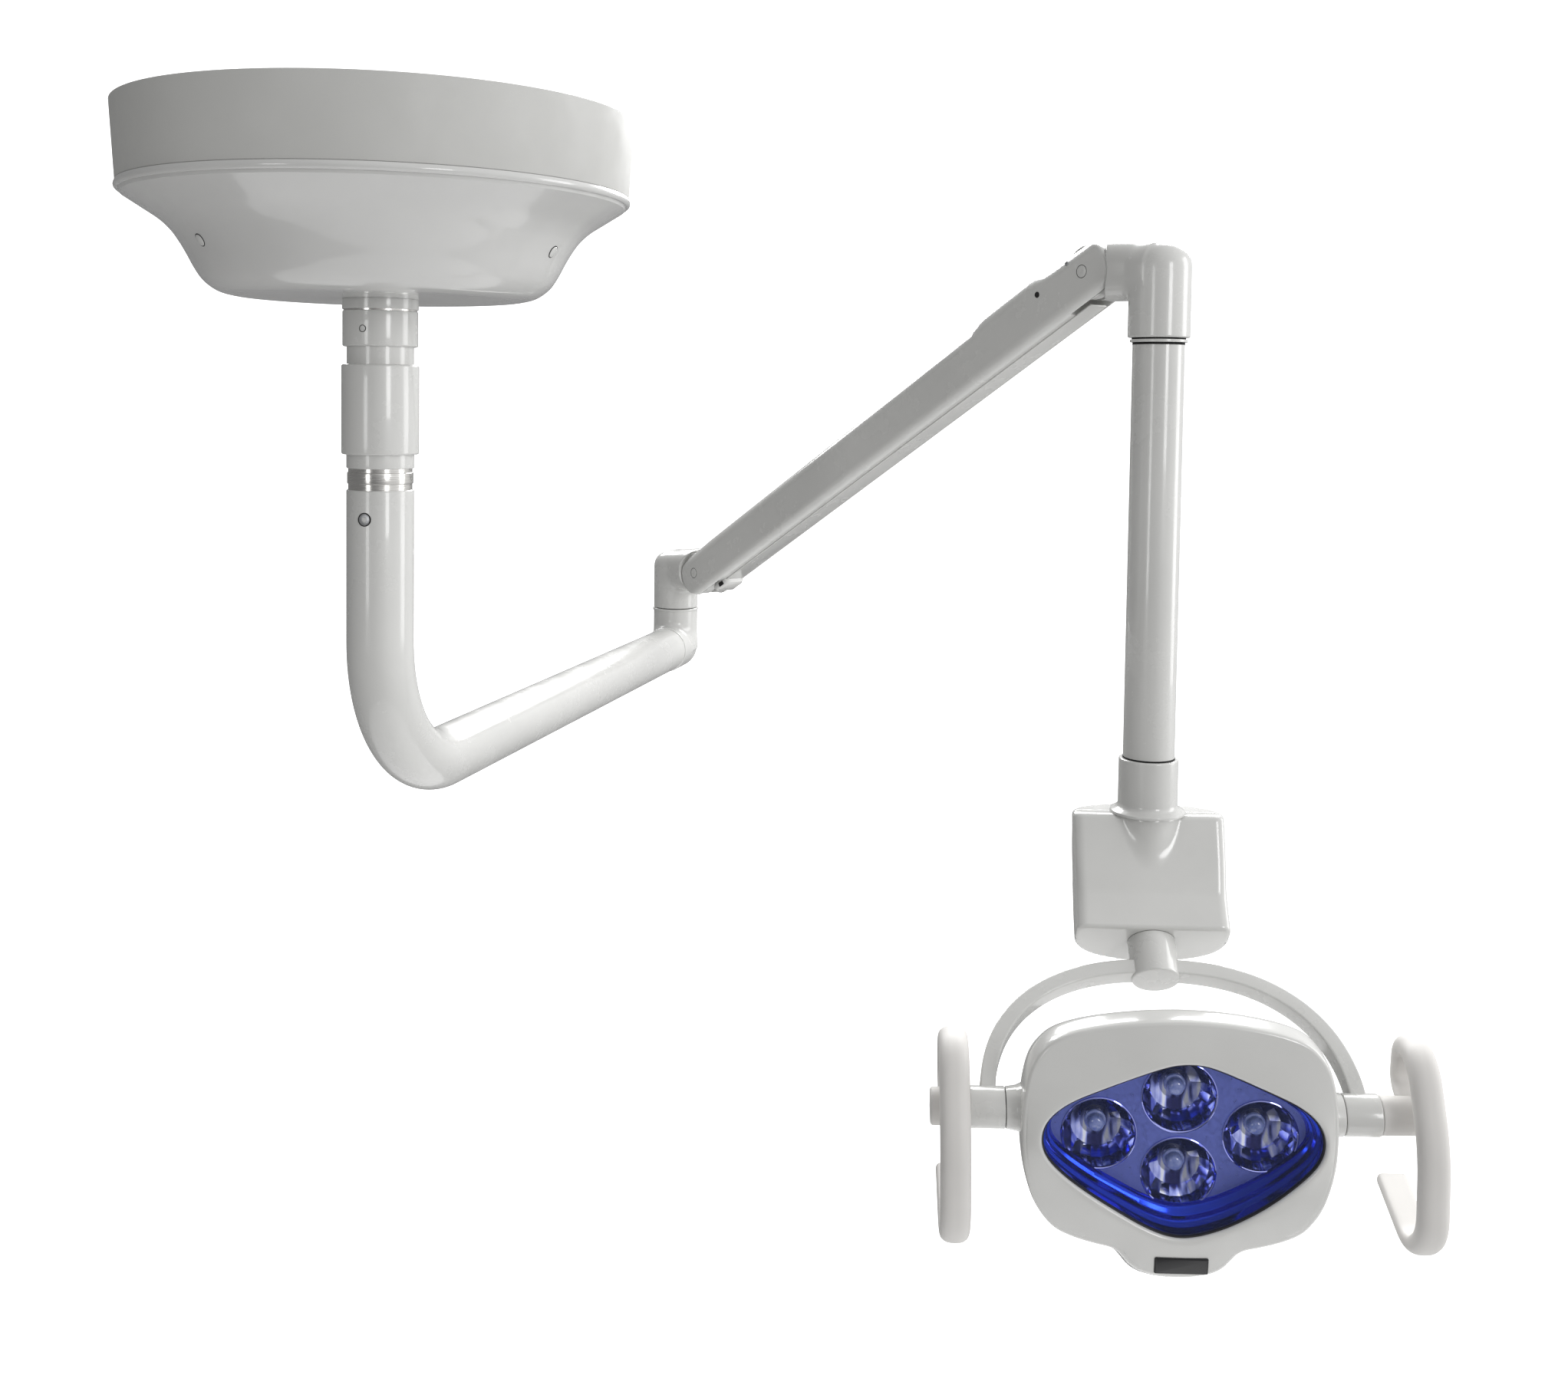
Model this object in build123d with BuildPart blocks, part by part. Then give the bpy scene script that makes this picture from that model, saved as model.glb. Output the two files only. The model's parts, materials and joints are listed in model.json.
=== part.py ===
from build123d import *
import os
from math import cos, pi, sin

# Ceiling-mounted four-lamp dental operating light, modelled in millimetres.
# The origin is on the main post's axis at the ceiling plane, +Z points up,
# and -Y points towards the person who stands in front of the light.
# The arms stand in one ordinary working pose, which is every joint's zero.

os.makedirs("parts", exist_ok=True)

# ---------------------------------------------------------------- driving sizes
# Pose of the arms (degrees, and axis heights below the ceiling)
S_ARM_YAW = 76.3
SPRING_ARM_YAW = -51.3
SPRING_ARM_RISE = 28.9
HEAD_YAW = -2.4
HUB_LEAN = 47.0
YOKE_ROLL = 1.3
FACE_DROP = 3.3

# Ceiling mount
PLATE_RADIUS = 165.0
PLATE_THICKNESS = 8.0
BOLT_CIRCLE = 260.0
BOLT_HOLE_RADIUS = 6.5
CABLE_HOLE_RADIUS = 17.0
RIM_RADIUS = 182.6
SEAM_RADIUS = 179.0
SEAM_Z = -55.0
BAND_WALL = 2.6
BOWL_WALL = 3.0
BOWL_BOTTOM_Z = -131.0
NECK_RADIUS = 23.9
NECK_BORE = 17.05
SHAFT_RADIUS = 16.95
SCREW_AZIMUTH = S_ARM_YAW + 180.0

# S-arm
PIPE_RADIUS = 24.15
PIPE_WALL = 3.0
S_ARM_TOP_Z = -269.2
S_ARM_AXIS_Z = -488.6
S_ARM_REACH = 722.0
S_ARM_BEND = 132.0
BRAKE_SCREW_Z = -289.8
ELBOW_RADIUS = 25.1
ELBOW_RING_Z = -444.0
ELBOW_STUB = 40.0

# Spring arm
KNUCKLE_OFFSET = 65.9
ARM_LENGTH = 638.4
ARM_HEIGHT = 49.6
ARM_WIDTH = 44.0
ARM_WALL = 2.8
LOWER_PIVOT_Z = -397.0
LUG_WIDTH = 28.6
CHEEK_GAP = 30.0
LUG_RADIUS = 23.4
RECESS_RADIUS = 25.6
PIVOT_PIN_RADIUS = 5.5
ROD_OFFSET = 13.0
ROD_PIN_RADIUS = 2.5
ROD_RADIUS = 3.0

# Running fits and small gaps
RUNNING_FIT = 0.05
SMALL_GAP = 0.3
JOURNAL_RADIUS = 12.95
BUSH_RADIUS = 17.9

# Drop arm and driver box
DROP_KNUCKLE_RADIUS = 25.4
DROP_KNUCKLE_Z = -145.3
DROP_PIPE_RADIUS = 21.2
DROP_PIPE_END_Z = -550.0
COLLAR_RADIUS = 24.5
COLLAR_TOP_Z = -495.3
BOX_TOP_Z = -541.0
BOX_HALF_WIDTH = 62.5
BOX_WALL = 2.6
HUB_START_Z = -611.5
HUB_EXIT = 43.2
HUB_END = 77.5
TILT_DISTANCE = 184.5

# Yoke
HUB_RADIUS = 19.3
YOKE_HALF_WIDTH = 146.0
YOKE_HEIGHT = 121.3
YOKE_ROUNDNESS = 2.7
YOKE_THICKNESS = 12.0
YOKE_WIDTH = 18.0
BOSS_RADIUS = 15.4
BOSS_INNER = 127.0
BOSS_OUTER = 154.0
TILT_SHAFT_RADIUS = 8.95

# Lamp head (x right, y up, z out of the lamp's face)
HEAD_FRONT = 32.0
HEAD_SEAM = 2.0
HEAD_BACK = -38.0
HEAD_WALL = 2.6
WINDOW_HALF_WIDTH = 104.0
WINDOW_CENTRE_Y = -9.5
WINDOW_UP = 61.0
WINDOW_DOWN = 74.5
UPPER_ROUNDNESS = 1.65
LOWER_ROUNDNESS = 1.45
LAMP_CENTRE_Y = -13.5
LAMP_SPREAD_X = 61.0
LAMP_SPREAD_Y = 30.0
LAMP_RADIUS = 29.0
LAMP_PLANE = 8.0
DISPLAY_WIDTH = 38.0
DISPLAY_HEIGHT = 12.0
DISPLAY_Y = -108.0
LEFT_HANDLE_X = 166.2
RIGHT_HANDLE_X = 182.0
HANDLE_WIDTH = 23.0
HANDLE_THICKNESS = 14.0
HANDLE_HUB_RADIUS = 14.2
LEFT_HUB_END = 184.0
RIGHT_HUB_END = 194.4


# ---------------------------------------------------------------- frames
def heading(angle):
    """Unit vector in the horizontal plane, angle in degrees from +X."""
    return Vector(cos(angle * pi / 180), sin(angle * pi / 180), 0)


ELBOW_POINT = heading(S_ARM_YAW) * S_ARM_REACH
LOWER_PIVOT = ELBOW_POINT + heading(SPRING_ARM_YAW) * KNUCKLE_OFFSET + Vector(0, 0, LOWER_PIVOT_Z)
RISE = SPRING_ARM_RISE * pi / 180
ARM_DIRECTION = heading(SPRING_ARM_YAW) * cos(RISE) + Vector(0, 0, sin(RISE))
UPPER_PIVOT = LOWER_PIVOT + ARM_DIRECTION * ARM_LENGTH
DROP_POINT = UPPER_PIVOT + heading(SPRING_ARM_YAW) * KNUCKLE_OFFSET
LEAN = HUB_LEAN * pi / 180
HUB_DIRECTION = heading(HEAD_YAW - 90) * sin(LEAN) - Vector(0, 0, cos(LEAN))
HUB_START = Vector(DROP_POINT.X, DROP_POINT.Y, HUB_START_Z)
TILT_POINT = HUB_START + HUB_DIRECTION * TILT_DISTANCE

CEILING = Plane.XY
S_ARM = Plane((0, 0, 0), x_dir=heading(S_ARM_YAW), z_dir=(0, 0, 1))
ELBOW = Plane(ELBOW_POINT, x_dir=heading(SPRING_ARM_YAW), z_dir=(0, 0, 1))
SPRING_ARM = Plane(
    LOWER_PIVOT, x_dir=ARM_DIRECTION, z_dir=Vector(0, 0, cos(RISE)) - heading(SPRING_ARM_YAW) * sin(RISE)
)
UPPER = Plane(
    (DROP_POINT.X, DROP_POINT.Y, UPPER_PIVOT.Z), x_dir=heading(SPRING_ARM_YAW), z_dir=(0, 0, 1)
)
DROP = Plane((DROP_POINT.X, DROP_POINT.Y, 0), x_dir=heading(HEAD_YAW), z_dir=(0, 0, 1))
TILT_AXIS = heading(HEAD_YAW).rotate(Axis((0, 0, 0), -HUB_DIRECTION), -YOKE_ROLL)
FACE_DIRECTION = (-HUB_DIRECTION).rotate(Axis((0, 0, 0), TILT_AXIS), 90 + HUB_LEAN + FACE_DROP)
YOKE = Plane(TILT_POINT, x_dir=TILT_AXIS, z_dir=-HUB_DIRECTION)
HEAD = Plane(TILT_POINT, x_dir=TILT_AXIS, z_dir=FACE_DIRECTION)

# Lengths along the hub, measured up from the tilt axis in the yoke's frame
HUB_FACE = TILT_DISTANCE - HUB_END
HUB_TOP = TILT_DISTANCE - HUB_EXIT


def finish(piece, name, frame):
    """Place a finished piece in its frame, label it and write its file."""
    piece.part.move(frame.location)
    piece.part.label = name
    export_step(piece.part, f"parts/{name}.step")


def ring(outer, inner, low, high):
    """A plain ring about the local Z axis, added to the current part."""
    with BuildSketch(Plane.XY.offset(low)) as section:
        Circle(outer)
        if inner:
            Circle(inner, mode=Mode.SUBTRACT)
    extrude(section.sketch, amount=high - low)


# ================================================================ ceiling mount
SPINDLE_FLANGE_RADIUS = 60.0
SPINDLE_FLANGE_Z = -18.0
SPINDLE_SCREW_CIRCLE = 45.0
SPINDLE_SCREW_RADIUS = 4.0
NECK_SLEEVE_TOP = -178.2
NECK_SLEEVE_BOTTOM = -243.5
NECK_END = -253.6
THRUST_RING_TOP = -256.4
THRUST_RING_BOTTOM = -264.8
SHAFT_TOP = -120.0
SHAFT_END = -352.0
CABLE_BORE = 9.0

# Steel plate that bolts to the ceiling, with a cable hole in the middle
with BuildPart() as ceiling_plate:
    ring(PLATE_RADIUS, CABLE_HOLE_RADIUS, -PLATE_THICKNESS, 0)
    with PolarLocations(BOLT_CIRCLE / 2, 4, start_angle=45):
        Hole(BOLT_HOLE_RADIUS)
    with PolarLocations(SPINDLE_SCREW_CIRCLE, 4):
        Hole(SPINDLE_SCREW_RADIUS)
finish(ceiling_plate, "ceiling_plate", CEILING)

# Tapered cover band that closes the mount against the ceiling
with BuildPart() as canopy_band:
    with BuildSketch(Plane.XZ):
        with BuildLine():
            Polyline(
                (RIM_RADIUS - BAND_WALL, 0),
                (RIM_RADIUS, 0),
                (SEAM_RADIUS, SEAM_Z),
                (SEAM_RADIUS - 13, SEAM_Z),
                (SEAM_RADIUS - 13, SEAM_Z + 2.5),
                (SEAM_RADIUS - BAND_WALL, SEAM_Z + 2.5),
                close=True,
            )
        make_face()
    revolve(axis=Axis.Z)
finish(canopy_band, "canopy_band", CEILING)

# Three angle brackets that carry the band and bowl from the plate
with BuildPart() as canopy_brackets:
    for turn in range(3):
        outward = turn * 120 + 30
        with BuildSketch(Plane((0, 0, 0), x_dir=heading(outward), z_dir=heading(outward - 90))):
            with BuildLine():
                Polyline((140, -10), (140, -8.2), (174.5, -8.2), (174.5, -52.2), (172.5, -52.2), (172.5, -10),
                         close=True)
            make_face()
        extrude(amount=10, both=True)
finish(canopy_brackets, "canopy_brackets", CEILING)


def bowl_outline(inward, upward):
    """Radial outline of the cover bowl, moved in and up for its inner face."""
    def at(radius, height):
        return (radius - inward, height + upward)

    with BuildLine() as line:
        lip = ThreePointArc(at(SEAM_RADIUS - 0.5, SEAM_Z - SMALL_GAP), at(180.4, -58.6), at(176.5, -62.4))
        Spline(
            [lip @ 1, at(164, -70.5), at(152, -78.4), at(144.2, -85.6), at(139, -92.5), at(133.6, -101.5),
             at(127.5, -113)],
        )
        ThreePointArc(at(127.5, -113), at(117, -126.4), at(98, BOWL_BOTTOM_Z))
        Line(at(98, BOWL_BOTTOM_Z), (0, BOWL_BOTTOM_Z + upward))
        Line((0, BOWL_BOTTOM_Z + upward), (0, SEAM_Z - SMALL_GAP + upward))
        Line((0, SEAM_Z - SMALL_GAP + upward), at(SEAM_RADIUS - 0.5, SEAM_Z - SMALL_GAP))
    return line


CAP_AZIMUTHS = (-136.0, -16.0, 104.0)
CAP_Z = -98.0

# Glossy moulded bowl below the band, with a rolled lip at the seam
with BuildPart() as canopy_bowl:
    outer_line = bowl_outline(0, 0)
    with BuildSketch(Plane.XZ):
        add(outer_line.line)
        make_face()
    revolve(axis=Axis.Z)
    inner_line = bowl_outline(BOWL_WALL, BOWL_WALL)
    with BuildSketch(Plane.XZ):
        add(inner_line.line)
        make_face()
    revolve(axis=Axis.Z, mode=Mode.SUBTRACT)
    with BuildSketch(Plane.XY.offset(BOWL_BOTTOM_Z - 1)):
        Circle(NECK_RADIUS + 0.5)
    extrude(amount=20, mode=Mode.SUBTRACT)
    for azimuth in CAP_AZIMUTHS:
        with BuildSketch(Plane((0, 0, CAP_Z), z_dir=heading(azimuth))):
            Circle(4.2)
        extrude(amount=200, mode=Mode.SUBTRACT)
finish(canopy_bowl, "canopy_bowl", CEILING)

# Blind caps over the bowl's fixing screws
with BuildPart() as canopy_caps:
    for azimuth in CAP_AZIMUTHS:
        with BuildSketch(Plane(heading(azimuth) * 130 + Vector(0, 0, CAP_Z), z_dir=heading(azimuth))):
            Circle(4.0)
        extrude(amount=5.4)
finish(canopy_caps, "canopy_caps", CEILING)

# Driver supply under the plate
with BuildPart() as power_supply:
    with Locations((0, 107, -PLATE_THICKNESS - 19.2)):
        Box(150, 62, 38)
    fillet(power_supply.edges().filter_by(Axis.Z), 4)
finish(power_supply, "power_supply", CEILING)

# Flanged pipe that carries the whole light
with BuildPart() as ceiling_tube:
    ring(SPINDLE_FLANGE_RADIUS, NECK_BORE, SPINDLE_FLANGE_Z, -PLATE_THICKNESS)
    ring(NECK_RADIUS, NECK_BORE, NECK_SLEEVE_BOTTOM, SPINDLE_FLANGE_Z)
    with Locations((0, 0, SPINDLE_FLANGE_Z)):
        with PolarLocations(SPINDLE_SCREW_CIRCLE, 4):
            Hole(SPINDLE_SCREW_RADIUS)
finish(ceiling_tube, "ceiling_tube", CEILING)

# Four cap screws hold the pipe's flange to the plate, one set screw holds the collar
COLLAR_SCREW_Z = -153.0
with BuildPart() as mount_screws:
    for turn in range(4):
        under = heading(90 * turn) * SPINDLE_SCREW_CIRCLE + Vector(0, 0, SPINDLE_FLANGE_Z)
        seat = Plane(under, z_dir=(0, 0, -1))
        with BuildSketch(seat):
            Circle(6.5)
        extrude(amount=7)
        with BuildSketch(seat.offset(7)):
            RegularPolygon(3.2, 6)
        extrude(amount=-4, mode=Mode.SUBTRACT)
        with BuildSketch(seat):
            Circle(SPINDLE_SCREW_RADIUS - 0.1)
        extrude(amount=-17)
    screw_seat = heading(SCREW_AZIMUTH) * 24.1 + Vector(0, 0, COLLAR_SCREW_Z)
    with BuildSketch(Plane(screw_seat, z_dir=heading(SCREW_AZIMUTH))):
        Circle(2.5)
        RegularPolygon(1.3, 6, mode=Mode.SUBTRACT)
    extrude(amount=1.6)
finish(mount_screws, "mount_screws", CEILING)

# Clamping collar with its trim washer, where the pipe leaves the bowl
with BuildPart() as canopy_collar:
    ring(26.9, NECK_RADIUS + 0.1, -165.4, -139.6)
    fillet(canopy_collar.edges().filter_by(GeomType.CIRCLE).group_by(SortBy.RADIUS)[-1], 1.2)
    ring(25.5, NECK_RADIUS + 0.1, -139.6, -138.4)
    ring(27.2, NECK_RADIUS + 0.1, -138.4, BOWL_BOTTOM_Z - 0.1)
    with BuildSketch(Plane((0, 0, COLLAR_SCREW_Z), z_dir=heading(SCREW_AZIMUTH))):
        Circle(2.6)
    extrude(amount=40, mode=Mode.SUBTRACT)
finish(canopy_collar, "canopy_collar", CEILING)

# Sleeve over the bearing housing, with its stepped lower end
with BuildPart() as neck_sleeve:
    ring(27.7, NECK_RADIUS + 0.1, NECK_SLEEVE_BOTTOM, NECK_SLEEVE_TOP)
    fillet(neck_sleeve.edges().filter_by(GeomType.CIRCLE).group_by(SortBy.RADIUS)[-1], 1.5)
    ring(24.15, NECK_BORE, NECK_END, NECK_SLEEVE_BOTTOM)
finish(neck_sleeve, "neck_sleeve", CEILING)

# Polished thrust ring between two narrower washers
with BuildPart() as thrust_bearing:
    ring(23.6, NECK_BORE, THRUST_RING_BOTTOM, THRUST_RING_TOP)
    chamfer(thrust_bearing.edges().filter_by(GeomType.CIRCLE).group_by(SortBy.RADIUS)[-1], 0.6)
    ring(20.5, NECK_BORE, THRUST_RING_TOP, NECK_END)
    ring(21.0, NECK_BORE, S_ARM_TOP_Z + SMALL_GAP, THRUST_RING_BOTTOM)
finish(thrust_bearing, "thrust_bearing", CEILING)

# Hollow pivot shaft inside the S-arm, and its retainer
RETAINER_TOP = -345.4
with BuildPart() as pivot_shaft:
    ring(SHAFT_RADIUS, CABLE_BORE, SHAFT_END, SHAFT_TOP)
finish(pivot_shaft, "pivot_shaft", CEILING)

with BuildPart() as shaft_retainer:
    ring(20.4, SHAFT_RADIUS + 0.02, RETAINER_TOP - 5, RETAINER_TOP)
finish(shaft_retainer, "shaft_retainer", CEILING)

# ================================================================ S-arm
PIPE_BORE = PIPE_RADIUS - PIPE_WALL
S_PIPE_END = S_ARM_REACH - ELBOW_STUB

# Bent pipe: down from the ceiling spindle, then out to the elbow
with BuildPart() as s_arm_tube:
    with BuildLine():
        FilletPolyline(
            (0, 0, S_ARM_TOP_Z), (0, 0, S_ARM_AXIS_Z), (S_PIPE_END, 0, S_ARM_AXIS_Z), radius=S_ARM_BEND
        )
    with BuildSketch(Plane((0, 0, S_ARM_TOP_Z), z_dir=(0, 0, -1))):
        Circle(PIPE_RADIUS)
        Circle(PIPE_BORE, mode=Mode.SUBTRACT)
    sweep()
    with BuildSketch(Plane((0, 0, BRAKE_SCREW_Z), z_dir=(-1, 0, 0))):
        Circle(5.0)
    extrude(amount=40, mode=Mode.SUBTRACT)
finish(s_arm_tube, "s_arm_tube", S_ARM)

# Friction brake: a grub screw presses a pad against the shaft
with BuildPart() as brake_screw:
    brake_seat = Plane((-PIPE_BORE + 0.8, 0, BRAKE_SCREW_Z), z_dir=(-1, 0, 0))
    with BuildSketch(brake_seat):
        Circle(4.9)
        RegularPolygon(2.0, 6, mode=Mode.SUBTRACT)
    extrude(amount=2.6)
    with BuildSketch(brake_seat.offset(-0.1)):
        Circle(4.9)
    extrude(amount=0.9)
finish(brake_screw, "brake_screw", S_ARM)

with BuildPart() as brake_pad:
    ring(PIPE_BORE - 1.0, SHAFT_RADIUS + SMALL_GAP, BRAKE_SCREW_Z - 6, BRAKE_SCREW_Z + 6)
    with Locations((25, 0, BRAKE_SCREW_Z)):
        Box(90, 60, 20, mode=Mode.SUBTRACT, align=(Align.CENTER, Align.CENTER, Align.CENTER))
finish(brake_pad, "brake_pad", S_ARM)

# Cast elbow at the arm's end, open on top for the next knuckle's journal
RIM_HEIGHT = 1.6
with BuildPart() as elbow_casting:
    with Locations((S_ARM_REACH, 0, S_ARM_AXIS_Z)):
        Sphere(ELBOW_RADIUS)
    with BuildSketch(Plane((S_ARM_REACH, 0, S_ARM_AXIS_Z), z_dir=(0, 0, 1))):
        Circle(ELBOW_RADIUS)
    extrude(amount=ELBOW_RING_Z - RIM_HEIGHT - S_ARM_AXIS_Z)
    with BuildSketch(Plane((S_ARM_REACH, 0, ELBOW_RING_Z - RIM_HEIGHT), z_dir=(0, 0, 1))):
        Circle(ELBOW_RADIUS + 0.9)
    extrude(amount=RIM_HEIGHT)
    with BuildSketch(Plane((S_ARM_REACH, 0, S_ARM_AXIS_Z), z_dir=(-1, 0, 0))):
        Circle(ELBOW_RADIUS)
    extrude(amount=ELBOW_STUB - 0.1)
    with BuildSketch(Plane((S_PIPE_END + 0.2, 0, S_ARM_AXIS_Z), z_dir=(-1, 0, 0))):
        Circle(PIPE_BORE - 0.1)
    extrude(amount=34)
    with BuildSketch(Plane((S_ARM_REACH, 0, ELBOW_RING_Z), z_dir=(0, 0, -1))):
        Circle(BUSH_RADIUS + 0.05)
    extrude(amount=49.6, mode=Mode.SUBTRACT)
    with BuildSketch(Plane((S_ARM_REACH - 10, 0, S_ARM_AXIS_Z), z_dir=(-1, 0, 0))):
        Circle(CABLE_BORE)
    extrude(amount=90, mode=Mode.SUBTRACT)
finish(elbow_casting, "elbow_casting", S_ARM)

with BuildPart() as s_arm_bushes:
    ring(PIPE_BORE - 0.05, SHAFT_RADIUS + RUNNING_FIT, -281.5, S_ARM_TOP_Z)
    ring(PIPE_BORE - 0.05, SHAFT_RADIUS + RUNNING_FIT, -345.0, -325.0)
    with BuildSketch(Plane((S_ARM_REACH, 0, ELBOW_RING_Z), z_dir=(0, 0, -1))):
        Circle(BUSH_RADIUS)
        Circle(JOURNAL_RADIUS + RUNNING_FIT, mode=Mode.SUBTRACT)
    extrude(amount=34.6)
finish(s_arm_bushes, "s_arm_bushes", S_ARM)

# ================================================================ knuckles
PIVOT_LEVEL = LOWER_PIVOT_Z
LUG_BORE = 8.0
ROD_SLOT = 7.0
BUSH_END = ELBOW_RING_Z - 34.6
JOURNAL_END = BUSH_END - 8
RETAINER_GAP = 0.4


def lug_and_recess(pivot_x, side, limb_end):
    """Shape one end of a knuckle into a lug that fits between two cheeks.

    The lug is forked down the middle so that the rods can swing in it.
    pivot_x is the pivot's place, side is +1 where the arm leaves along +X,
    and limb_end is where the full-width limb starts.
    """
    with BuildSketch(Plane.XZ.offset(-LUG_WIDTH / 2)) as lug:
        with Locations((pivot_x, 0)):
            Circle(LUG_RADIUS)
        with Locations(((pivot_x + limb_end) / 2, 0)):
            Rectangle(abs(pivot_x - limb_end), 40)
    extrude(lug.sketch, amount=LUG_WIDTH)
    for face in (-1, 1):
        cheek_seat = Plane((pivot_x, face * LUG_WIDTH / 2, 0), z_dir=(0, face, 0))
        with BuildSketch(cheek_seat) as recess:
            Circle(RECESS_RADIUS)
        extrude(recess.sketch, amount=40, mode=Mode.SUBTRACT)
    with BuildSketch(Plane.XZ.offset(-40)) as bores:
        with Locations((pivot_x, 0)):
            Circle(LUG_BORE)
        with Locations((pivot_x, ROD_OFFSET), (pivot_x, -ROD_OFFSET)):
            Circle(ROD_PIN_RADIUS + 0.1)
    extrude(bores.sketch, amount=80, mode=Mode.SUBTRACT)
    slot_start = pivot_x - side * (LUG_RADIUS - 4)
    with BuildSketch(Plane.XY.offset(-40)) as slot:
        with Locations(((slot_start + pivot_x + side * 40) / 2, 0)):
            Rectangle(LUG_RADIUS + 36, ROD_SLOT)
    extrude(slot.sketch, amount=80, mode=Mode.SUBTRACT)


# Knuckle that turns on the S-arm's elbow and carries the spring arm
with BuildPart() as lower_knuckle:
    with BuildSketch(Plane.XY.offset(ELBOW_RING_Z + 0.4 - PIVOT_LEVEL)):
        Circle(ELBOW_RADIUS)
    extrude(amount=20.5 - (ELBOW_RING_Z + 0.4 - PIVOT_LEVEL))
    fillet(lower_knuckle.edges().filter_by(GeomType.CIRCLE).sort_by(Axis.Z)[-1], 14)
    with BuildSketch(Plane.YZ):
        RectangleRounded(46, 41, 18)
    extrude(amount=KNUCKLE_OFFSET - 12)
    lug_and_recess(KNUCKLE_OFFSET, 1, 40)
    ring(JOURNAL_RADIUS, 0, JOURNAL_END - PIVOT_LEVEL, ELBOW_RING_Z + 0.4 - PIVOT_LEVEL)
    with BuildSketch(Plane.XY.offset(JOURNAL_END - PIVOT_LEVEL)):
        Circle(CABLE_BORE)
    extrude(amount=PIVOT_LEVEL - 8 - JOURNAL_END, mode=Mode.SUBTRACT)
ELBOW_LEVEL = Plane(ELBOW_POINT + Vector(0, 0, PIVOT_LEVEL), x_dir=ELBOW.x_dir, z_dir=(0, 0, 1))
finish(lower_knuckle, "lower_knuckle", ELBOW_LEVEL)

with BuildPart() as elbow_retainer:
    ring(BUSH_RADIUS - 0.5, JOURNAL_RADIUS + 0.02, BUSH_END - 6, BUSH_END - RETAINER_GAP)
finish(elbow_retainer, "elbow_retainer", ELBOW)


def lug_bushes(pivot_x):
    """Two plain bushes in a forked lug, one in each prong."""
    for face in (-1, 1):
        with BuildSketch(Plane((pivot_x, face * ROD_SLOT / 2, 0), z_dir=(0, face, 0))) as section:
            Circle(LUG_BORE - 0.02)
            Circle(PIVOT_PIN_RADIUS + RUNNING_FIT, mode=Mode.SUBTRACT)
        extrude(section.sketch, amount=(LUG_WIDTH - ROD_SLOT) / 2)


def rod_pins(pivot_x, heights):
    """Cross pins that hold the rods' eyes in a lug."""
    for height in heights:
        with BuildSketch(Plane.XZ.offset(-LUG_WIDTH / 2 + 0.2)) as pin:
            with Locations((pivot_x, height)):
                Circle(ROD_PIN_RADIUS)
        extrude(pin.sketch, amount=LUG_WIDTH - 0.4)


with BuildPart() as lower_lug_bushes:
    lug_bushes(KNUCKLE_OFFSET)
finish(lower_lug_bushes, "lower_lug_bushes", ELBOW_LEVEL)

with BuildPart() as lower_rod_pins:
    rod_pins(KNUCKLE_OFFSET, (ROD_OFFSET, -ROD_OFFSET))
finish(lower_rod_pins, "lower_rod_pins", ELBOW_LEVEL)

# ================================================================ spring arm
CHEEK_RADIUS = ARM_HEIGHT / 2
CAVITY_START = 31.0
COVER_HALF = 13.0
HUMP_START = 494.0
HUMP_END = 594.0
HUMP_HEIGHT = 5.6

# Rolled shell with two cheeks at each end and a slot along its underside
with BuildPart() as arm_shell:
    with BuildSketch(Plane.YZ.offset(-CHEEK_RADIUS)):
        RectangleRounded(ARM_WIDTH, ARM_HEIGHT, 17)
    extrude(amount=ARM_LENGTH + 2 * CHEEK_RADIUS)
    with BuildSketch(Plane.XZ.offset(-ARM_WIDTH)):
        with Locations((ARM_LENGTH / 2, 0)):
            SlotCenterToCenter(ARM_LENGTH, ARM_HEIGHT)
    extrude(amount=2 * ARM_WIDTH, mode=Mode.INTERSECT)
    with BuildSketch(Plane.YZ.offset(CAVITY_START)):
        RectangleRounded(ARM_WIDTH - 2 * ARM_WALL, ARM_HEIGHT - 2 * ARM_WALL, 17 - ARM_WALL)
    extrude(amount=ARM_LENGTH - 2 * CAVITY_START, mode=Mode.SUBTRACT)
    with Locations((0, 0, 0), (ARM_LENGTH, 0, 0)):
        Box(2 * CAVITY_START, CHEEK_GAP, 2 * ARM_HEIGHT, mode=Mode.SUBTRACT)
    with Locations((ARM_LENGTH / 2, 0, -CHEEK_RADIUS)):
        Box(ARM_LENGTH - 2 * CAVITY_START, 2 * COVER_HALF, 3 * ARM_WALL, mode=Mode.SUBTRACT)
    with Locations(((HUMP_START + HUMP_END) / 2, 0, CHEEK_RADIUS)):
        Box(HUMP_END - HUMP_START - 40, 18, 3 * ARM_WALL, mode=Mode.SUBTRACT)
    with BuildSketch(Plane.XZ.offset(-ARM_WIDTH)):
        with Locations((0, 0), (ARM_LENGTH, 0)):
            Circle(PIVOT_PIN_RADIUS + 0.02)
    extrude(amount=2 * ARM_WIDTH, mode=Mode.SUBTRACT)
    with BuildSketch(Plane.XZ.offset(ARM_WIDTH / 2 - 6)):
        with Locations((586, 8.6)):
            Circle(2.6)
    extrude(amount=12, mode=Mode.SUBTRACT)
finish(arm_shell, "arm_shell", SPRING_ARM)

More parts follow.
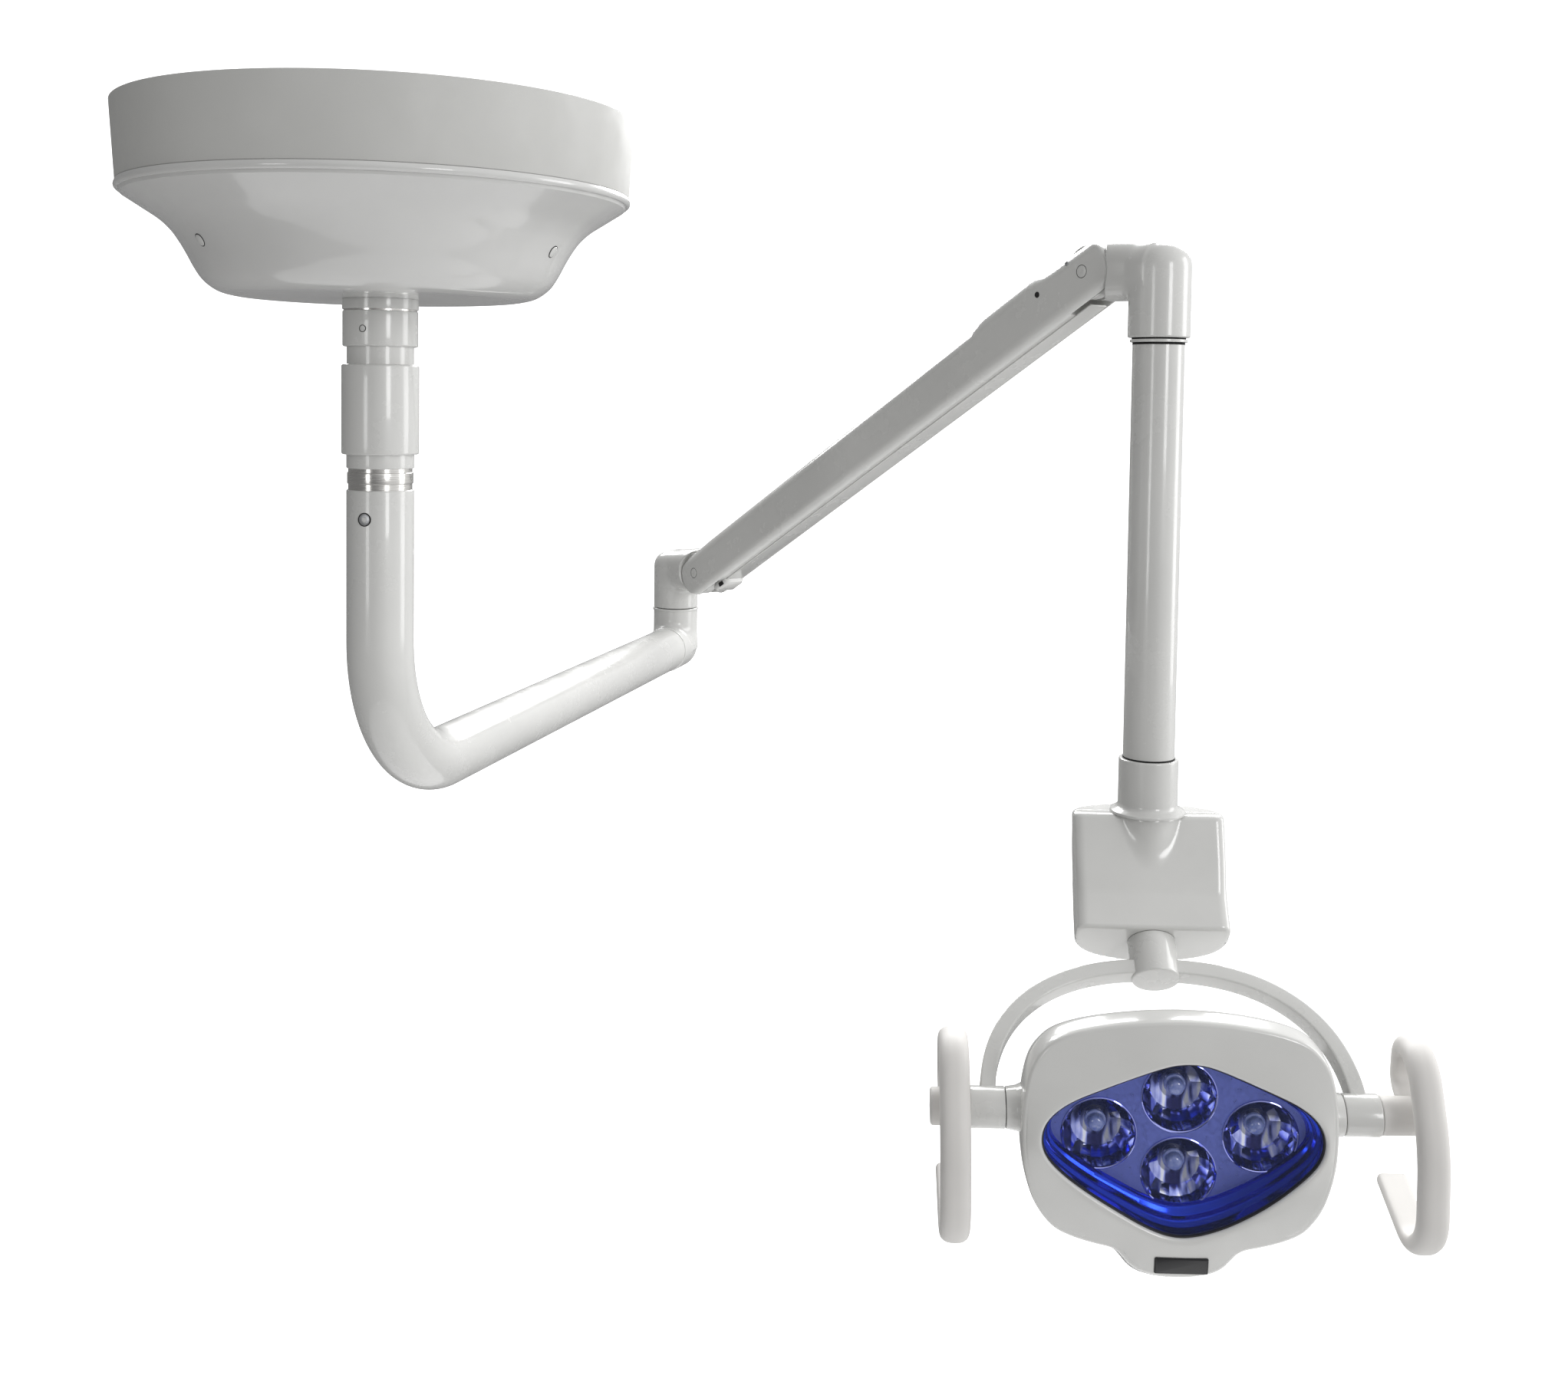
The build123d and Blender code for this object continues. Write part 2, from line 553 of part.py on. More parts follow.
with BuildPart() as arm_bottom_cover:
    with Locations((ARM_LENGTH / 2, 0, -CHEEK_RADIUS + 1.5)):
        Box(ARM_LENGTH - 2 * CAVITY_START - 0.6, 2 * COVER_HALF - 0.4, 2.4)
finish(arm_bottom_cover, "arm_bottom_cover", SPRING_ARM)

# Raised cover over the spring's adjuster, near the upper end
with BuildPart() as arm_hump_cover:
    with BuildSketch(Plane.XZ.offset(-15)):
        with BuildLine():
            Polyline(
                (HUMP_START, CHEEK_RADIUS + 0.1),
                (HUMP_START + 17, CHEEK_RADIUS + HUMP_HEIGHT),
                (HUMP_END - 15, CHEEK_RADIUS + HUMP_HEIGHT),
                (HUMP_END, CHEEK_RADIUS + 0.1),
                close=True,
            )
        make_face()
    extrude(amount=30)
    with BuildSketch(Plane.YZ.offset(HUMP_START - 1)):
        with Locations((0, HUMP_HEIGHT / 2)):
            RectangleRounded(ARM_WIDTH - 1, ARM_HEIGHT + HUMP_HEIGHT, 17)
    extrude(amount=HUMP_END - HUMP_START + 2, mode=Mode.INTERSECT)
finish(arm_hump_cover, "arm_hump_cover", SPRING_ARM)


# A pin through both cheeks at each end
with BuildPart() as pivot_pins:
    with BuildSketch(Plane.XZ.offset(-ARM_WIDTH / 2 + 1.2)):
        with Locations((0, 0), (ARM_LENGTH, 0)):
            Circle(PIVOT_PIN_RADIUS)
    extrude(amount=ARM_WIDTH - 2.4)
finish(pivot_pins, "pivot_pins", SPRING_ARM)

# Cover screws in the ends of both pivot pins
with BuildPart() as pivot_screws:
    for at_x in (0, ARM_LENGTH):
        for face in (-1, 1):
            with BuildSketch(Plane((at_x, face * (ARM_WIDTH / 2 - 1.15), 0), z_dir=(0, face, 0))):
                Circle(5.4)
                RegularPolygon(1.6, 6, mode=Mode.SUBTRACT)
            extrude(amount=1.1)
finish(pivot_screws, "pivot_screws", SPRING_ARM)

# Spring stop fixed across the shell, with a clearance hole for the pull rod
ANCHOR_X = 90.0
with BuildPart() as spring_anchor:
    with BuildSketch(Plane.YZ.offset(ANCHOR_X)):
        RectangleRounded(ARM_WIDTH - 2 * ARM_WALL - 0.2, ARM_HEIGHT - 2 * ARM_WALL - 4, 12)
        with Locations((0, ROD_OFFSET - 1.5)):
            Circle(5.6, mode=Mode.SUBTRACT)
        with Locations((0, -ROD_OFFSET + 1.5)):
            SlotOverall(18, 8.5, rotation=90, mode=Mode.SUBTRACT)
    extrude(amount=8)
finish(spring_anchor, "spring_anchor", SPRING_ARM)


def rod(name, height, end_x, eyes):
    """A round rod parallel to the arm with a flat eye at each pivot.

    height is its pivots' height above the knuckles' main pivots, measured
    plumb, and eyes pairs each pivot's place with the radius of its hole.
    """
    with BuildPart() as bar:
        with BuildSketch(Plane.YZ.offset(4)):
            Circle(ROD_RADIUS)
        extrude(amount=end_x - (8 if len(eyes) > 1 else 4))
        for eye_x, hole_radius in eyes:
            with BuildSketch(Plane.XZ.offset(-3)):
                with Locations((eye_x, 0)):
                    Circle(4.6)
            extrude(amount=6)
            with BuildSketch(Plane.XZ.offset(-8)):
                with Locations((eye_x, 0)):
                    Circle(hole_radius)
            extrude(amount=16, mode=Mode.SUBTRACT)
    at = SPRING_ARM.origin + Vector(0, 0, height)
    finish(bar, name, Plane(at, x_dir=SPRING_ARM.x_dir, z_dir=SPRING_ARM.z_dir))


SPRING_LENGTH = 300.0
ROD_REACH = ANCHOR_X + 8 + SPRING_LENGTH + 30
PIN_FIT = ROD_PIN_RADIUS + RUNNING_FIT
OPEN_PIN_FIT = ROD_PIN_RADIUS + SMALL_GAP
rod("pull_rod", ROD_OFFSET, ROD_REACH, ((0, PIN_FIT),))
rod("tie_rod", -ROD_OFFSET, ARM_LENGTH, ((0, PIN_FIT), (ARM_LENGTH, OPEN_PIN_FIT)))

# Adjusting nut and seat on the pull rod, and the spring between seat and stop
ROD_LINE = Plane(
    SPRING_ARM.origin + Vector(0, 0, ROD_OFFSET), x_dir=SPRING_ARM.x_dir, z_dir=SPRING_ARM.z_dir
)
SLIP = -ROD_OFFSET * sin(RISE)
SEAT_X = ANCHOR_X + 8 + SPRING_LENGTH + SLIP
with BuildPart() as spring_seat:
    with BuildSketch(Plane.YZ.offset(SEAT_X)):
        Circle(8.6)
        Circle(ROD_RADIUS + 0.02, mode=Mode.SUBTRACT)
    extrude(amount=4)
    with BuildSketch(Plane.YZ.offset(SEAT_X + 4)):
        RegularPolygon(6, 6)
        Circle(ROD_RADIUS + 0.02, mode=Mode.SUBTRACT)
    extrude(amount=6)
finish(spring_seat, "spring_seat", ROD_LINE)

SPRING_RADIUS = 6.6
SPRING_WIRE = 1.3
SPRING_PITCH = SPRING_LENGTH / 30
SPRING_SLOPE = SPRING_PITCH / (2 * pi * SPRING_RADIUS)
with BuildPart() as balance_spring:
    with BuildLine():
        Helix(pitch=SPRING_PITCH, height=SPRING_LENGTH - 2 * SPRING_WIRE - 0.6, radius=SPRING_RADIUS)
    with BuildSketch(Plane((SPRING_RADIUS, 0, 0), z_dir=(0, 1, SPRING_SLOPE))):
        Circle(SPRING_WIRE)
    sweep(is_frenet=True)
SPRING_LINE = Plane(
    ROD_LINE.from_local_coords((ANCHOR_X + 8 + SLIP + SPRING_WIRE + 0.3, 0, 0)), z_dir=SPRING_ARM.x_dir
)
finish(balance_spring, "balance_spring", SPRING_LINE)

# ================================================================ upper knuckle
KNUCKLE_DEPTH = UPPER_PIVOT.Z - DROP_KNUCKLE_Z
UPPER_BORE_TOP = -18.0
with BuildPart() as upper_knuckle:
    with BuildSketch(Plane.XY.offset(-KNUCKLE_DEPTH)):
        Circle(DROP_KNUCKLE_RADIUS)
    extrude(amount=KNUCKLE_DEPTH + 21.5)
    fillet(upper_knuckle.edges().filter_by(GeomType.CIRCLE).sort_by(Axis.Z)[-1], 17)
    with BuildSketch(Plane.YZ):
        RectangleRounded(50, 50, 20)
    extrude(amount=-(KNUCKLE_OFFSET - 12))
    lug_and_recess(-KNUCKLE_OFFSET, -1, -40)
    with BuildSketch(Plane.XY.offset(-KNUCKLE_DEPTH - 1)):
        Circle(BUSH_RADIUS + 0.05)
    extrude(amount=KNUCKLE_DEPTH + 1 + UPPER_BORE_TOP, mode=Mode.SUBTRACT)
finish(upper_knuckle, "upper_knuckle", UPPER)

with BuildPart() as upper_bushes:
    lug_bushes(-KNUCKLE_OFFSET)
    ring(BUSH_RADIUS, JOURNAL_RADIUS + RUNNING_FIT, -KNUCKLE_DEPTH, -KNUCKLE_DEPTH + 26)
finish(upper_bushes, "upper_bushes", UPPER)

with BuildPart() as upper_rod_pin:
    rod_pins(-KNUCKLE_OFFSET, (-ROD_OFFSET,))
finish(upper_rod_pin, "upper_rod_pin", UPPER)

# ================================================================ drop arm
RING_TOP = DROP_KNUCKLE_Z - 1.3
RING_BOTTOM = RING_TOP - 2.3
BUSH_TOP = DROP_KNUCKLE_Z + 26

with BuildPart() as drop_retainer:
    ring(BUSH_RADIUS - 0.5, JOURNAL_RADIUS + 0.02, BUSH_TOP + RETAINER_GAP, BUSH_TOP + 6)
finish(drop_retainer, "drop_retainer", DROP)

with BuildPart() as drop_tube:
    ring(DROP_PIPE_RADIUS, DROP_PIPE_RADIUS - 3, DROP_PIPE_END_Z, RING_BOTTOM - 20)
    ring(DROP_PIPE_RADIUS, CABLE_BORE, RING_BOTTOM - 20, RING_BOTTOM)
    ring(23.5, CABLE_BORE, RING_BOTTOM, RING_TOP)
    ring(JOURNAL_RADIUS, CABLE_BORE, RING_TOP, BUSH_TOP + 8)
finish(drop_tube, "drop_tube", DROP)

# Collar with a flared foot that stands on the driver box
with BuildPart() as drop_collar:
    with BuildSketch(Plane.XZ):
        with BuildLine():
            Polyline((COLLAR_RADIUS, BOX_TOP_Z + 5.4), (COLLAR_RADIUS, COLLAR_TOP_Z - 0.8),
                     (COLLAR_RADIUS - 0.8, COLLAR_TOP_Z), (DROP_PIPE_RADIUS + 0.1, COLLAR_TOP_Z),
                     (DROP_PIPE_RADIUS + 0.1, BOX_TOP_Z + 0.1), (31, BOX_TOP_Z + 0.1), (31, BOX_TOP_Z + 1.6))
            ThreePointArc((31, BOX_TOP_Z + 1.6), (26.6, BOX_TOP_Z + 2.6), (COLLAR_RADIUS, BOX_TOP_Z + 5.4))
        make_face()
    revolve(axis=Axis.Z)
finish(drop_collar, "drop_collar", DROP)

# Hub axis in the drop arm's own frame, and the slanted bottom plane of the box
HUB_LINE = Plane((0, 0, HUB_START_Z), x_dir=(1, 0, 0), z_dir=(0, -sin(LEAN), -cos(LEAN)))
BOX_FLOOR = HUB_LINE.offset(HUB_EXIT)


def box_section(plane, front, back, inset):
    """D-shaped section: straight front edge and an elliptical back."""
    half = BOX_HALF_WIDTH - inset
    with BuildSketch(plane) as section:
        with BuildLine():
            Polyline((-half, 0), (-half, front - 6 - inset), (-half + 6, front - inset),
                     (half - 6, front - inset), (half, front - 6 - inset), (half, 0))
            EllipticalCenterArc((0, 0), half, back - inset, start_angle=180, arc_size=180)
        make_face()
    return section


def box_body(inset):
    """Solid of the driver box, pulled in by inset on its walls."""
    top = Plane((0, 0, BOX_TOP_Z - inset), x_dir=(1, 0, 0), z_dir=(0, 0, 1))
    middle = Plane((0, -7, -603), x_dir=(1, 0, 0), z_dir=(0, sin(0.35), cos(0.35)))
    floor = Plane(
        BOX_FLOOR.origin + BOX_FLOOR.z_dir * -inset, x_dir=(1, 0, 0), z_dir=(0, sin(LEAN), cos(LEAN))
    )
    flipped = [Plane(p.origin, x_dir=(-1, 0, 0), z_dir=p.z_dir) for p in (top, middle, floor)]
    sections = [
        box_section(flipped[0], 12, 29, inset).sketch,
        box_section(flipped[1], 25, 29, inset).sketch,
        box_section(flipped[2], 22, 27, inset).sketch,
    ]
    loft(sections)


HUB_SOCKET_OUTER = 15.0
SPINDLE_RADIUS = 10.0
with BuildPart() as box_solid:
    box_body(0)
    with BuildSketch(Plane.XY.offset(BOX_TOP_Z)):
        Circle(COLLAR_RADIUS)
    extrude(amount=-46)
with BuildPart() as box_hollow:
    box_body(BOX_WALL)
with BuildPart() as box_shell:
    add(box_solid.part)
    add(box_hollow.part, mode=Mode.SUBTRACT)
    with BuildSketch(Plane.XY.offset(BOX_TOP_Z + 1)):
        Circle(DROP_PIPE_RADIUS + 0.3)
    extrude(amount=-48, mode=Mode.SUBTRACT)
    with BuildSketch(BOX_FLOOR.offset(-BOX_WALL - 2)):
        Circle(HUB_SOCKET_OUTER + 0.1)
    extrude(amount=20, mode=Mode.SUBTRACT)

for name, keep in (("driver_box_front", Keep.BOTTOM), ("driver_box_rear", Keep.TOP)):
    with BuildPart() as half_box:
        add(box_shell.part)
        split(bisect_by=Plane((0, 0, 0), z_dir=(0, 1, 0)), keep=keep)
    finish(half_box, name, DROP)

with BuildPart() as hub_socket:
    with BuildSketch(BOX_FLOOR.offset(-28)):
        Circle(HUB_SOCKET_OUTER)
        Circle(SPINDLE_RADIUS + RUNNING_FIT, mode=Mode.SUBTRACT)
    extrude(amount=27.7)
finish(hub_socket, "hub_socket", DROP)

with BuildPart() as driver_board:
    with Locations((0, 8, -581)):
        Box(70, 1.6, 50)
    with Locations((-24, 4.4, -573), (22, 4.4, -585)):
        Box(18, 5.6, 14)
finish(driver_board, "driver_board", DROP)

# ================================================================ yoke
SPINDLE_LENGTH = 34.0
with BuildPart() as yoke_hub:
    ring(HUB_RADIUS, 0, HUB_FACE, HUB_TOP - SMALL_GAP)
    fillet(yoke_hub.edges().filter_by(GeomType.CIRCLE).group_by(Axis.Z)[0], 1.2)
    ring(SPINDLE_RADIUS, 0, HUB_TOP - SMALL_GAP, HUB_TOP + SPINDLE_LENGTH)
    with BuildSketch(Plane.XY.offset(HUB_TOP + SPINDLE_LENGTH)):
        Circle(CABLE_BORE / 2)
    extrude(amount=-SPINDLE_LENGTH - 14, mode=Mode.SUBTRACT)
    with Locations((0, 0, YOKE_HEIGHT - YOKE_THICKNESS / 2)):
        Box(80, YOKE_WIDTH + 0.1, YOKE_THICKNESS + 0.6, mode=Mode.SUBTRACT)
finish(yoke_hub, "yoke_hub", YOKE)

with BuildPart() as spindle_retainer:
    ring(13.5, SPINDLE_RADIUS + 0.02, HUB_TOP + 28.4, HUB_TOP + 32)
finish(spindle_retainer, "spindle_retainer", YOKE)


def arch_points(half_width, height, steps=10):
    """Points of a rounded arch from its left foot over the crown to its right foot."""
    points = []
    for step in range(2 * steps + 1):
        angle = pi - pi * step / (2 * steps)
        power = 2 / YOKE_ROUNDNESS
        across = half_width * abs(cos(angle)) ** power * (1 if cos(angle) >= 0 else -1)
        points.append((across, height * sin(angle) ** power if 0 < step < 2 * steps else 0.0))
    return points


# Flat bar bent into an arch, with a round boss at each foot
with BuildPart() as yoke:
    with BuildSketch(Plane.XZ.offset(-YOKE_WIDTH / 2)):
        with BuildLine():
            outer = Spline(arch_points(YOKE_HALF_WIDTH, YOKE_HEIGHT))
            inner = Spline(arch_points(YOKE_HALF_WIDTH - YOKE_THICKNESS, YOKE_HEIGHT - YOKE_THICKNESS))
            Line(outer @ 0, inner @ 0)
            Line(outer @ 1, inner @ 1)
        make_face()
    extrude(amount=YOKE_WIDTH)
    for side in (-1, 1):
        with BuildSketch(Plane((side * BOSS_INNER, 0, 0), z_dir=(side, 0, 0))):
            Circle(BOSS_RADIUS)
        extrude(amount=BOSS_OUTER - BOSS_INNER)
    with BuildSketch(Plane.YZ.offset(-200)):
        Circle(11.0)
    extrude(amount=400, mode=Mode.SUBTRACT)
finish(yoke, "yoke", YOKE)

with BuildPart() as yoke_bushes:
    for side in (-1, 1):
        with BuildSketch(Plane((side * BOSS_INNER, 0, 0), z_dir=(side, 0, 0))):
            Circle(10.95)
            Circle(TILT_SHAFT_RADIUS + RUNNING_FIT, mode=Mode.SUBTRACT)
        extrude(amount=BOSS_OUTER - BOSS_INNER)
finish(yoke_bushes, "yoke_bushes", YOKE)

# ================================================================ lamp head
HEAD_OUTLINE = [(0, 84), (55, 79.5), (95, 68), (112, 46), (118.5, 8), (118, -30), (111, -64), (92, -91),
                (62, -102), (46, -107), (36, -118), (20, -127), (0, -129)]


def head_outline(shrink=0.0):
    """Closed outline of the lamp head, seen from the front."""
    right = [((1 - shrink) * x, (1 - shrink) * y) for x, y in HEAD_OUTLINE]
    left = [(-x, y) for x, y in right[-2:0:-1]]
    return Spline(right + left, periodic=True)


def window_points(grow, steps=7):
    """Rounded lozenge of the window, one quarter at a time."""
    points = []
    for step in range(4 * steps):
        angle = pi / 2 * step / steps
        roundness = UPPER_ROUNDNESS if angle < pi else LOWER_ROUNDNESS
        rise = WINDOW_UP if angle < pi else WINDOW_DOWN
        power = 2 / roundness
        across = (WINDOW_HALF_WIDTH + grow) * abs(cos(angle)) ** power
        up = (rise + grow) * abs(sin(angle)) ** power
        points.append((
            across if cos(angle) >= 0 else -across,
            WINDOW_CENTRE_Y + (up if sin(angle) >= 0 else -up),
        ))
    return points


def window_face(plane, grow):
    """Filled window outline on the given plane."""
    with BuildSketch(plane) as opening:
        with BuildLine():
            Spline(window_points(grow), periodic=True)
        make_face()
    return opening.sketch


COVER_BACK = 25.0
COVER_FRONT = 27.5
SCREW_POSTS = ((-84, 44), (84, 44), (-78, -62), (78, -62))

# Front housing with the window opening and the display's tab
with BuildPart() as head_bezel:
    with BuildSketch(Plane.XY.offset(HEAD_SEAM + 0.2)):
        with BuildLine():
            head_outline()
        make_face()
    extrude(amount=HEAD_FRONT - HEAD_SEAM - 0.2)
    fillet(head_bezel.edges().group_by(Axis.Z)[-1], 5)
    with BuildSketch(Plane.XY.offset(HEAD_SEAM - 1)):
        with BuildLine():
            head_outline(0.025)
        make_face()
    extrude(amount=HEAD_FRONT - HEAD_SEAM - HEAD_WALL + 1, mode=Mode.SUBTRACT)
    extrude(window_face(Plane.XY.offset(HEAD_SEAM), 0), amount=60, mode=Mode.SUBTRACT)
    with BuildSketch(Plane.XY.offset(HEAD_SEAM)):
        with Locations((0, DISPLAY_Y)):
            Rectangle(DISPLAY_WIDTH + 0.4, DISPLAY_HEIGHT + 0.4)
    extrude(amount=60, mode=Mode.SUBTRACT)
    for side in (-1, 1):
        with BuildSketch(Plane((side * 80, 0, 0), z_dir=(side, 0, 0))):
            Circle(19.0)
        extrude(amount=60, mode=Mode.SUBTRACT)
finish(head_bezel, "head_bezel", HEAD)


def dome(layers):
    """Lofted dome through scaled copies of the head's outline."""
    sections = []
    for height, shrink in layers:
        with BuildSketch(Plane.XY.offset(height)) as section:
            with BuildLine():
                head_outline(shrink)
            make_face()
        sections.append(section.sketch)
    loft(sections)


# Domed rear housing with four screw posts
with BuildPart() as dome_hollow:
    dome(((HEAD_SEAM, 0.03), (-16, 0.07), (HEAD_BACK + HEAD_WALL, 0.33)))
    with BuildSketch(Plane.XY.offset(HEAD_BACK)):
        with Locations(*SCREW_POSTS):
            Circle(6.5)
    extrude(amount=60, mode=Mode.SUBTRACT)
with BuildPart() as head_rear_shell:
    dome(((HEAD_SEAM, 0.0), (-18, 0.04), (HEAD_BACK, 0.30)))
    add(dome_hollow.part, mode=Mode.SUBTRACT)
    for side in (-1, 1):
        with BuildSketch(Plane((side * 80, 0, 0), z_dir=(side, 0, 0))):
            Circle(19.0)
        extrude(amount=60, mode=Mode.SUBTRACT)
    with BuildSketch(Plane.XY.offset(-14)):
        with Locations(*SCREW_POSTS):
            Circle(4.2)
    extrude(amount=-40, mode=Mode.SUBTRACT)
    with BuildSketch(Plane.XY.offset(-20)):
        with Locations(*SCREW_POSTS):
            Circle(1.7)
    extrude(amount=40, mode=Mode.SUBTRACT)
finish(head_rear_shell, "head_rear_shell", HEAD)

with BuildPart() as head_screws:
    with BuildSketch(Plane.XY.offset(-14.1)):
        with Locations(*SCREW_POSTS):
            Circle(3.9)
    extrude(amount=-3.4)
    with BuildSketch(Plane.XY.offset(-14.1)):
        with Locations(*SCREW_POSTS):
            Circle(1.6)
    extrude(amount=20)
finish(head_screws, "head_screws", HEAD)

# Window: black gasket, clear cover and the bright tray behind it
with BuildPart() as window_gasket:
    extrude(window_face(Plane.XY.offset(COVER_FRONT), 2.0), amount=HEAD_FRONT - HEAD_WALL - COVER_FRONT - 0.1)
    extrude(window_face(Plane.XY.offset(COVER_FRONT - 1), -2.0), amount=10, mode=Mode.SUBTRACT)
finish(window_gasket, "window_gasket", HEAD)

with BuildPart() as window_cover:
    extrude(window_face(Plane.XY.offset(COVER_BACK), 2.0), amount=COVER_FRONT - COVER_BACK)
finish(window_cover, "window_cover", HEAD)

LAMPS = (
    (0, LAMP_CENTRE_Y + LAMP_SPREAD_Y),
    (0, LAMP_CENTRE_Y - LAMP_SPREAD_Y),
    (-LAMP_SPREAD_X, LAMP_CENTRE_Y),
    (LAMP_SPREAD_X, LAMP_CENTRE_Y),
)
PLATE_BACK = LAMP_PLANE - 1.6

with BuildPart() as reflector_tray:
    extrude(window_face(Plane.XY.offset(PLATE_BACK), 2.6), amount=COVER_BACK - PLATE_BACK - 0.1)
    extrude(window_face(Plane.XY.offset(LAMP_PLANE), 0.6), amount=40, mode=Mode.SUBTRACT)
    with BuildSketch(Plane.XY.offset(PLATE_BACK - 1)):
        with Locations(*LAMPS):
            Circle(LAMP_RADIUS)
    extrude(amount=5, mode=Mode.SUBTRACT)
finish(reflector_tray, "reflector_tray", HEAD)

REFLECTOR_BACK = -13.0
REFLECTOR_THROAT = 8.0
with BuildPart() as reflector_cup:
    with BuildSketch(Plane.XZ):
        with BuildLine():
            rim = Vector(LAMP_RADIUS - 0.2, LAMP_PLANE)
            throat = Vector(REFLECTOR_THROAT, REFLECTOR_BACK)
            bulge = Vector(22.0, -6.0)
            ThreePointArc(rim, bulge, throat)
            Line(throat, throat - Vector(0, 1.2))
            ThreePointArc(throat - Vector(0, 1.2), bulge + Vector(0.9, -0.9), rim - Vector(0, 1.7))
            Line(rim - Vector(0, 1.7), rim)
        make_face()
    revolve(axis=Axis.Z)

with BuildPart() as reflectors:
    with Locations(*LAMPS):
        add(reflector_cup.part)
finish(reflectors, "reflectors", HEAD)

# Light modules: a small board and its dome lens behind each reflector's throat
BOARD_FACE = REFLECTOR_BACK - 1.5
with BuildPart() as led_modules:
    with BuildSketch(Plane.XY.offset(BOARD_FACE)):
        with Locations(*LAMPS):
            Circle(5.5)
    extrude(amount=7)
    fillet(led_modules.edges().group_by(Axis.Z)[-1], 5)
    with BuildSketch(Plane.XY.offset(BOARD_FACE)):
        with Locations(*LAMPS):
            RegularPolygon(12, 6)
    extrude(amount=-1.6)
finish(led_modules, "led_modules", HEAD)

with BuildPart() as heat_sink:
    with Locations((0, LAMP_CENTRE_Y, BOARD_FACE - 1.7 - 1.6)):
        Box(146, 88, 3)
    with Locations((0, LAMP_CENTRE_Y, BOARD_FACE - 4.8 - 5.5)):
        with GridLocations(9, 0, 13, 1):
            Box(2, 76, 11)
finish(heat_sink, "heat_sink", HEAD)

# Display tab below the window
with BuildPart() as display_window:
    with Locations((0, DISPLAY_Y, HEAD_FRONT - 1.1)):
        Box(DISPLAY_WIDTH, DISPLAY_HEIGHT, 1.8)
    fillet(display_window.edges().filter_by(Axis.Z), 0.8)
finish(display_window, "display_window", HEAD)

with BuildPart() as display_board:
    with Locations((0, DISPLAY_Y, HEAD_FRONT - 4.2)):
        Box(DISPLAY_WIDTH - 6, DISPLAY_HEIGHT - 3, 4)
    with Locations((0, DISPLAY_Y + 2, HEAD_FRONT - 7)):
        Box(DISPLAY_WIDTH + 2, DISPLAY_HEIGHT + 6, 1.6)
finish(display_board, "display_board", HEAD)

# Trunnions at the head's sides, each with a hollow shaft that turns in the yoke
TRUNNION_FACE = 108.0
TRUNNION_SHOULDER = 115.4
TRUNNION_END = BOSS_INNER - SMALL_GAP
SHAFT_TIP = 174.0
with BuildPart() as tilt_shafts:
    for side in (-1, 1):
        with BuildSketch(Plane((side * TRUNNION_FACE, 0, 0), z_dir=(side, 0, 0))):
            Circle(18.5)
        extrude(amount=TRUNNION_SHOULDER - TRUNNION_FACE)
        with BuildSketch(Plane((side * TRUNNION_SHOULDER, 0, 0), z_dir=(side, 0, 0))):
            Circle(18.5)
        with BuildSketch(Plane((side * TRUNNION_END, 0, 0), z_dir=(side, 0, 0))):
            Circle(15.2)
        loft()
        with BuildSketch(Plane((side * TRUNNION_FACE, 0, 0), z_dir=(side, 0, 0))):
            Circle(TILT_SHAFT_RADIUS)
        extrude(amount=SHAFT_TIP - TRUNNION_FACE)
        with BuildSketch(Plane((side * (TRUNNION_FACE - 1), 0, 0), z_dir=(side, 0, 0))):
            Circle(4.0)
        extrude(amount=90, mode=Mode.SUBTRACT)
finish(tilt_shafts, "tilt_shafts", HEAD)

# Removable handles: a flat-sectioned hook in an upright plane, in one piece with its hub
HANDLE_CORNERS = [(-6, 3), (-30, 14), (-26, 50), (12, 49), (44, -6), (46, -70), (16, -97), (-54, -80)]
HANDLE_BENDS = [14, 16, 40, 90, 34, 36]
HANDLES = (
    ("left_handle", -1, LEFT_HANDLE_X, LEFT_HUB_END),
    ("right_handle", 1, RIGHT_HANDLE_X, RIGHT_HUB_END),
)
for name, side, loop_x, hub_end in HANDLES:
    with BuildPart() as handle:
        with BuildLine(Plane((side * loop_x, 0, 0), x_dir=(0, 0, 1), z_dir=(-1, 0, 0))) as path:
            FilletPolyline(HANDLE_CORNERS, radius=HANDLE_BENDS)
        with BuildSketch(Plane(path.line @ 0, x_dir=(1, 0, 0), z_dir=path.line % 0)):
            RectangleRounded(HANDLE_WIDTH, HANDLE_THICKNESS, 5.5)
        sweep()
        with BuildSketch(Plane((side * (BOSS_OUTER + SMALL_GAP), 0, 0), z_dir=(side, 0, 0))):
            Circle(HANDLE_HUB_RADIUS)
        extrude(amount=hub_end - BOSS_OUTER - SMALL_GAP)
        with BuildSketch(Plane((side * 150, 0, 0), z_dir=(side, 0, 0))):
            Circle(TILT_SHAFT_RADIUS + 0.02)
        extrude(amount=24.5, mode=Mode.SUBTRACT)
    finish(handle, name, HEAD)
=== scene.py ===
import json
from math import ceil, cos, pi, radians, sin, tan

import bmesh
import bpy
import numpy as np
from mathutils import Matrix, Vector


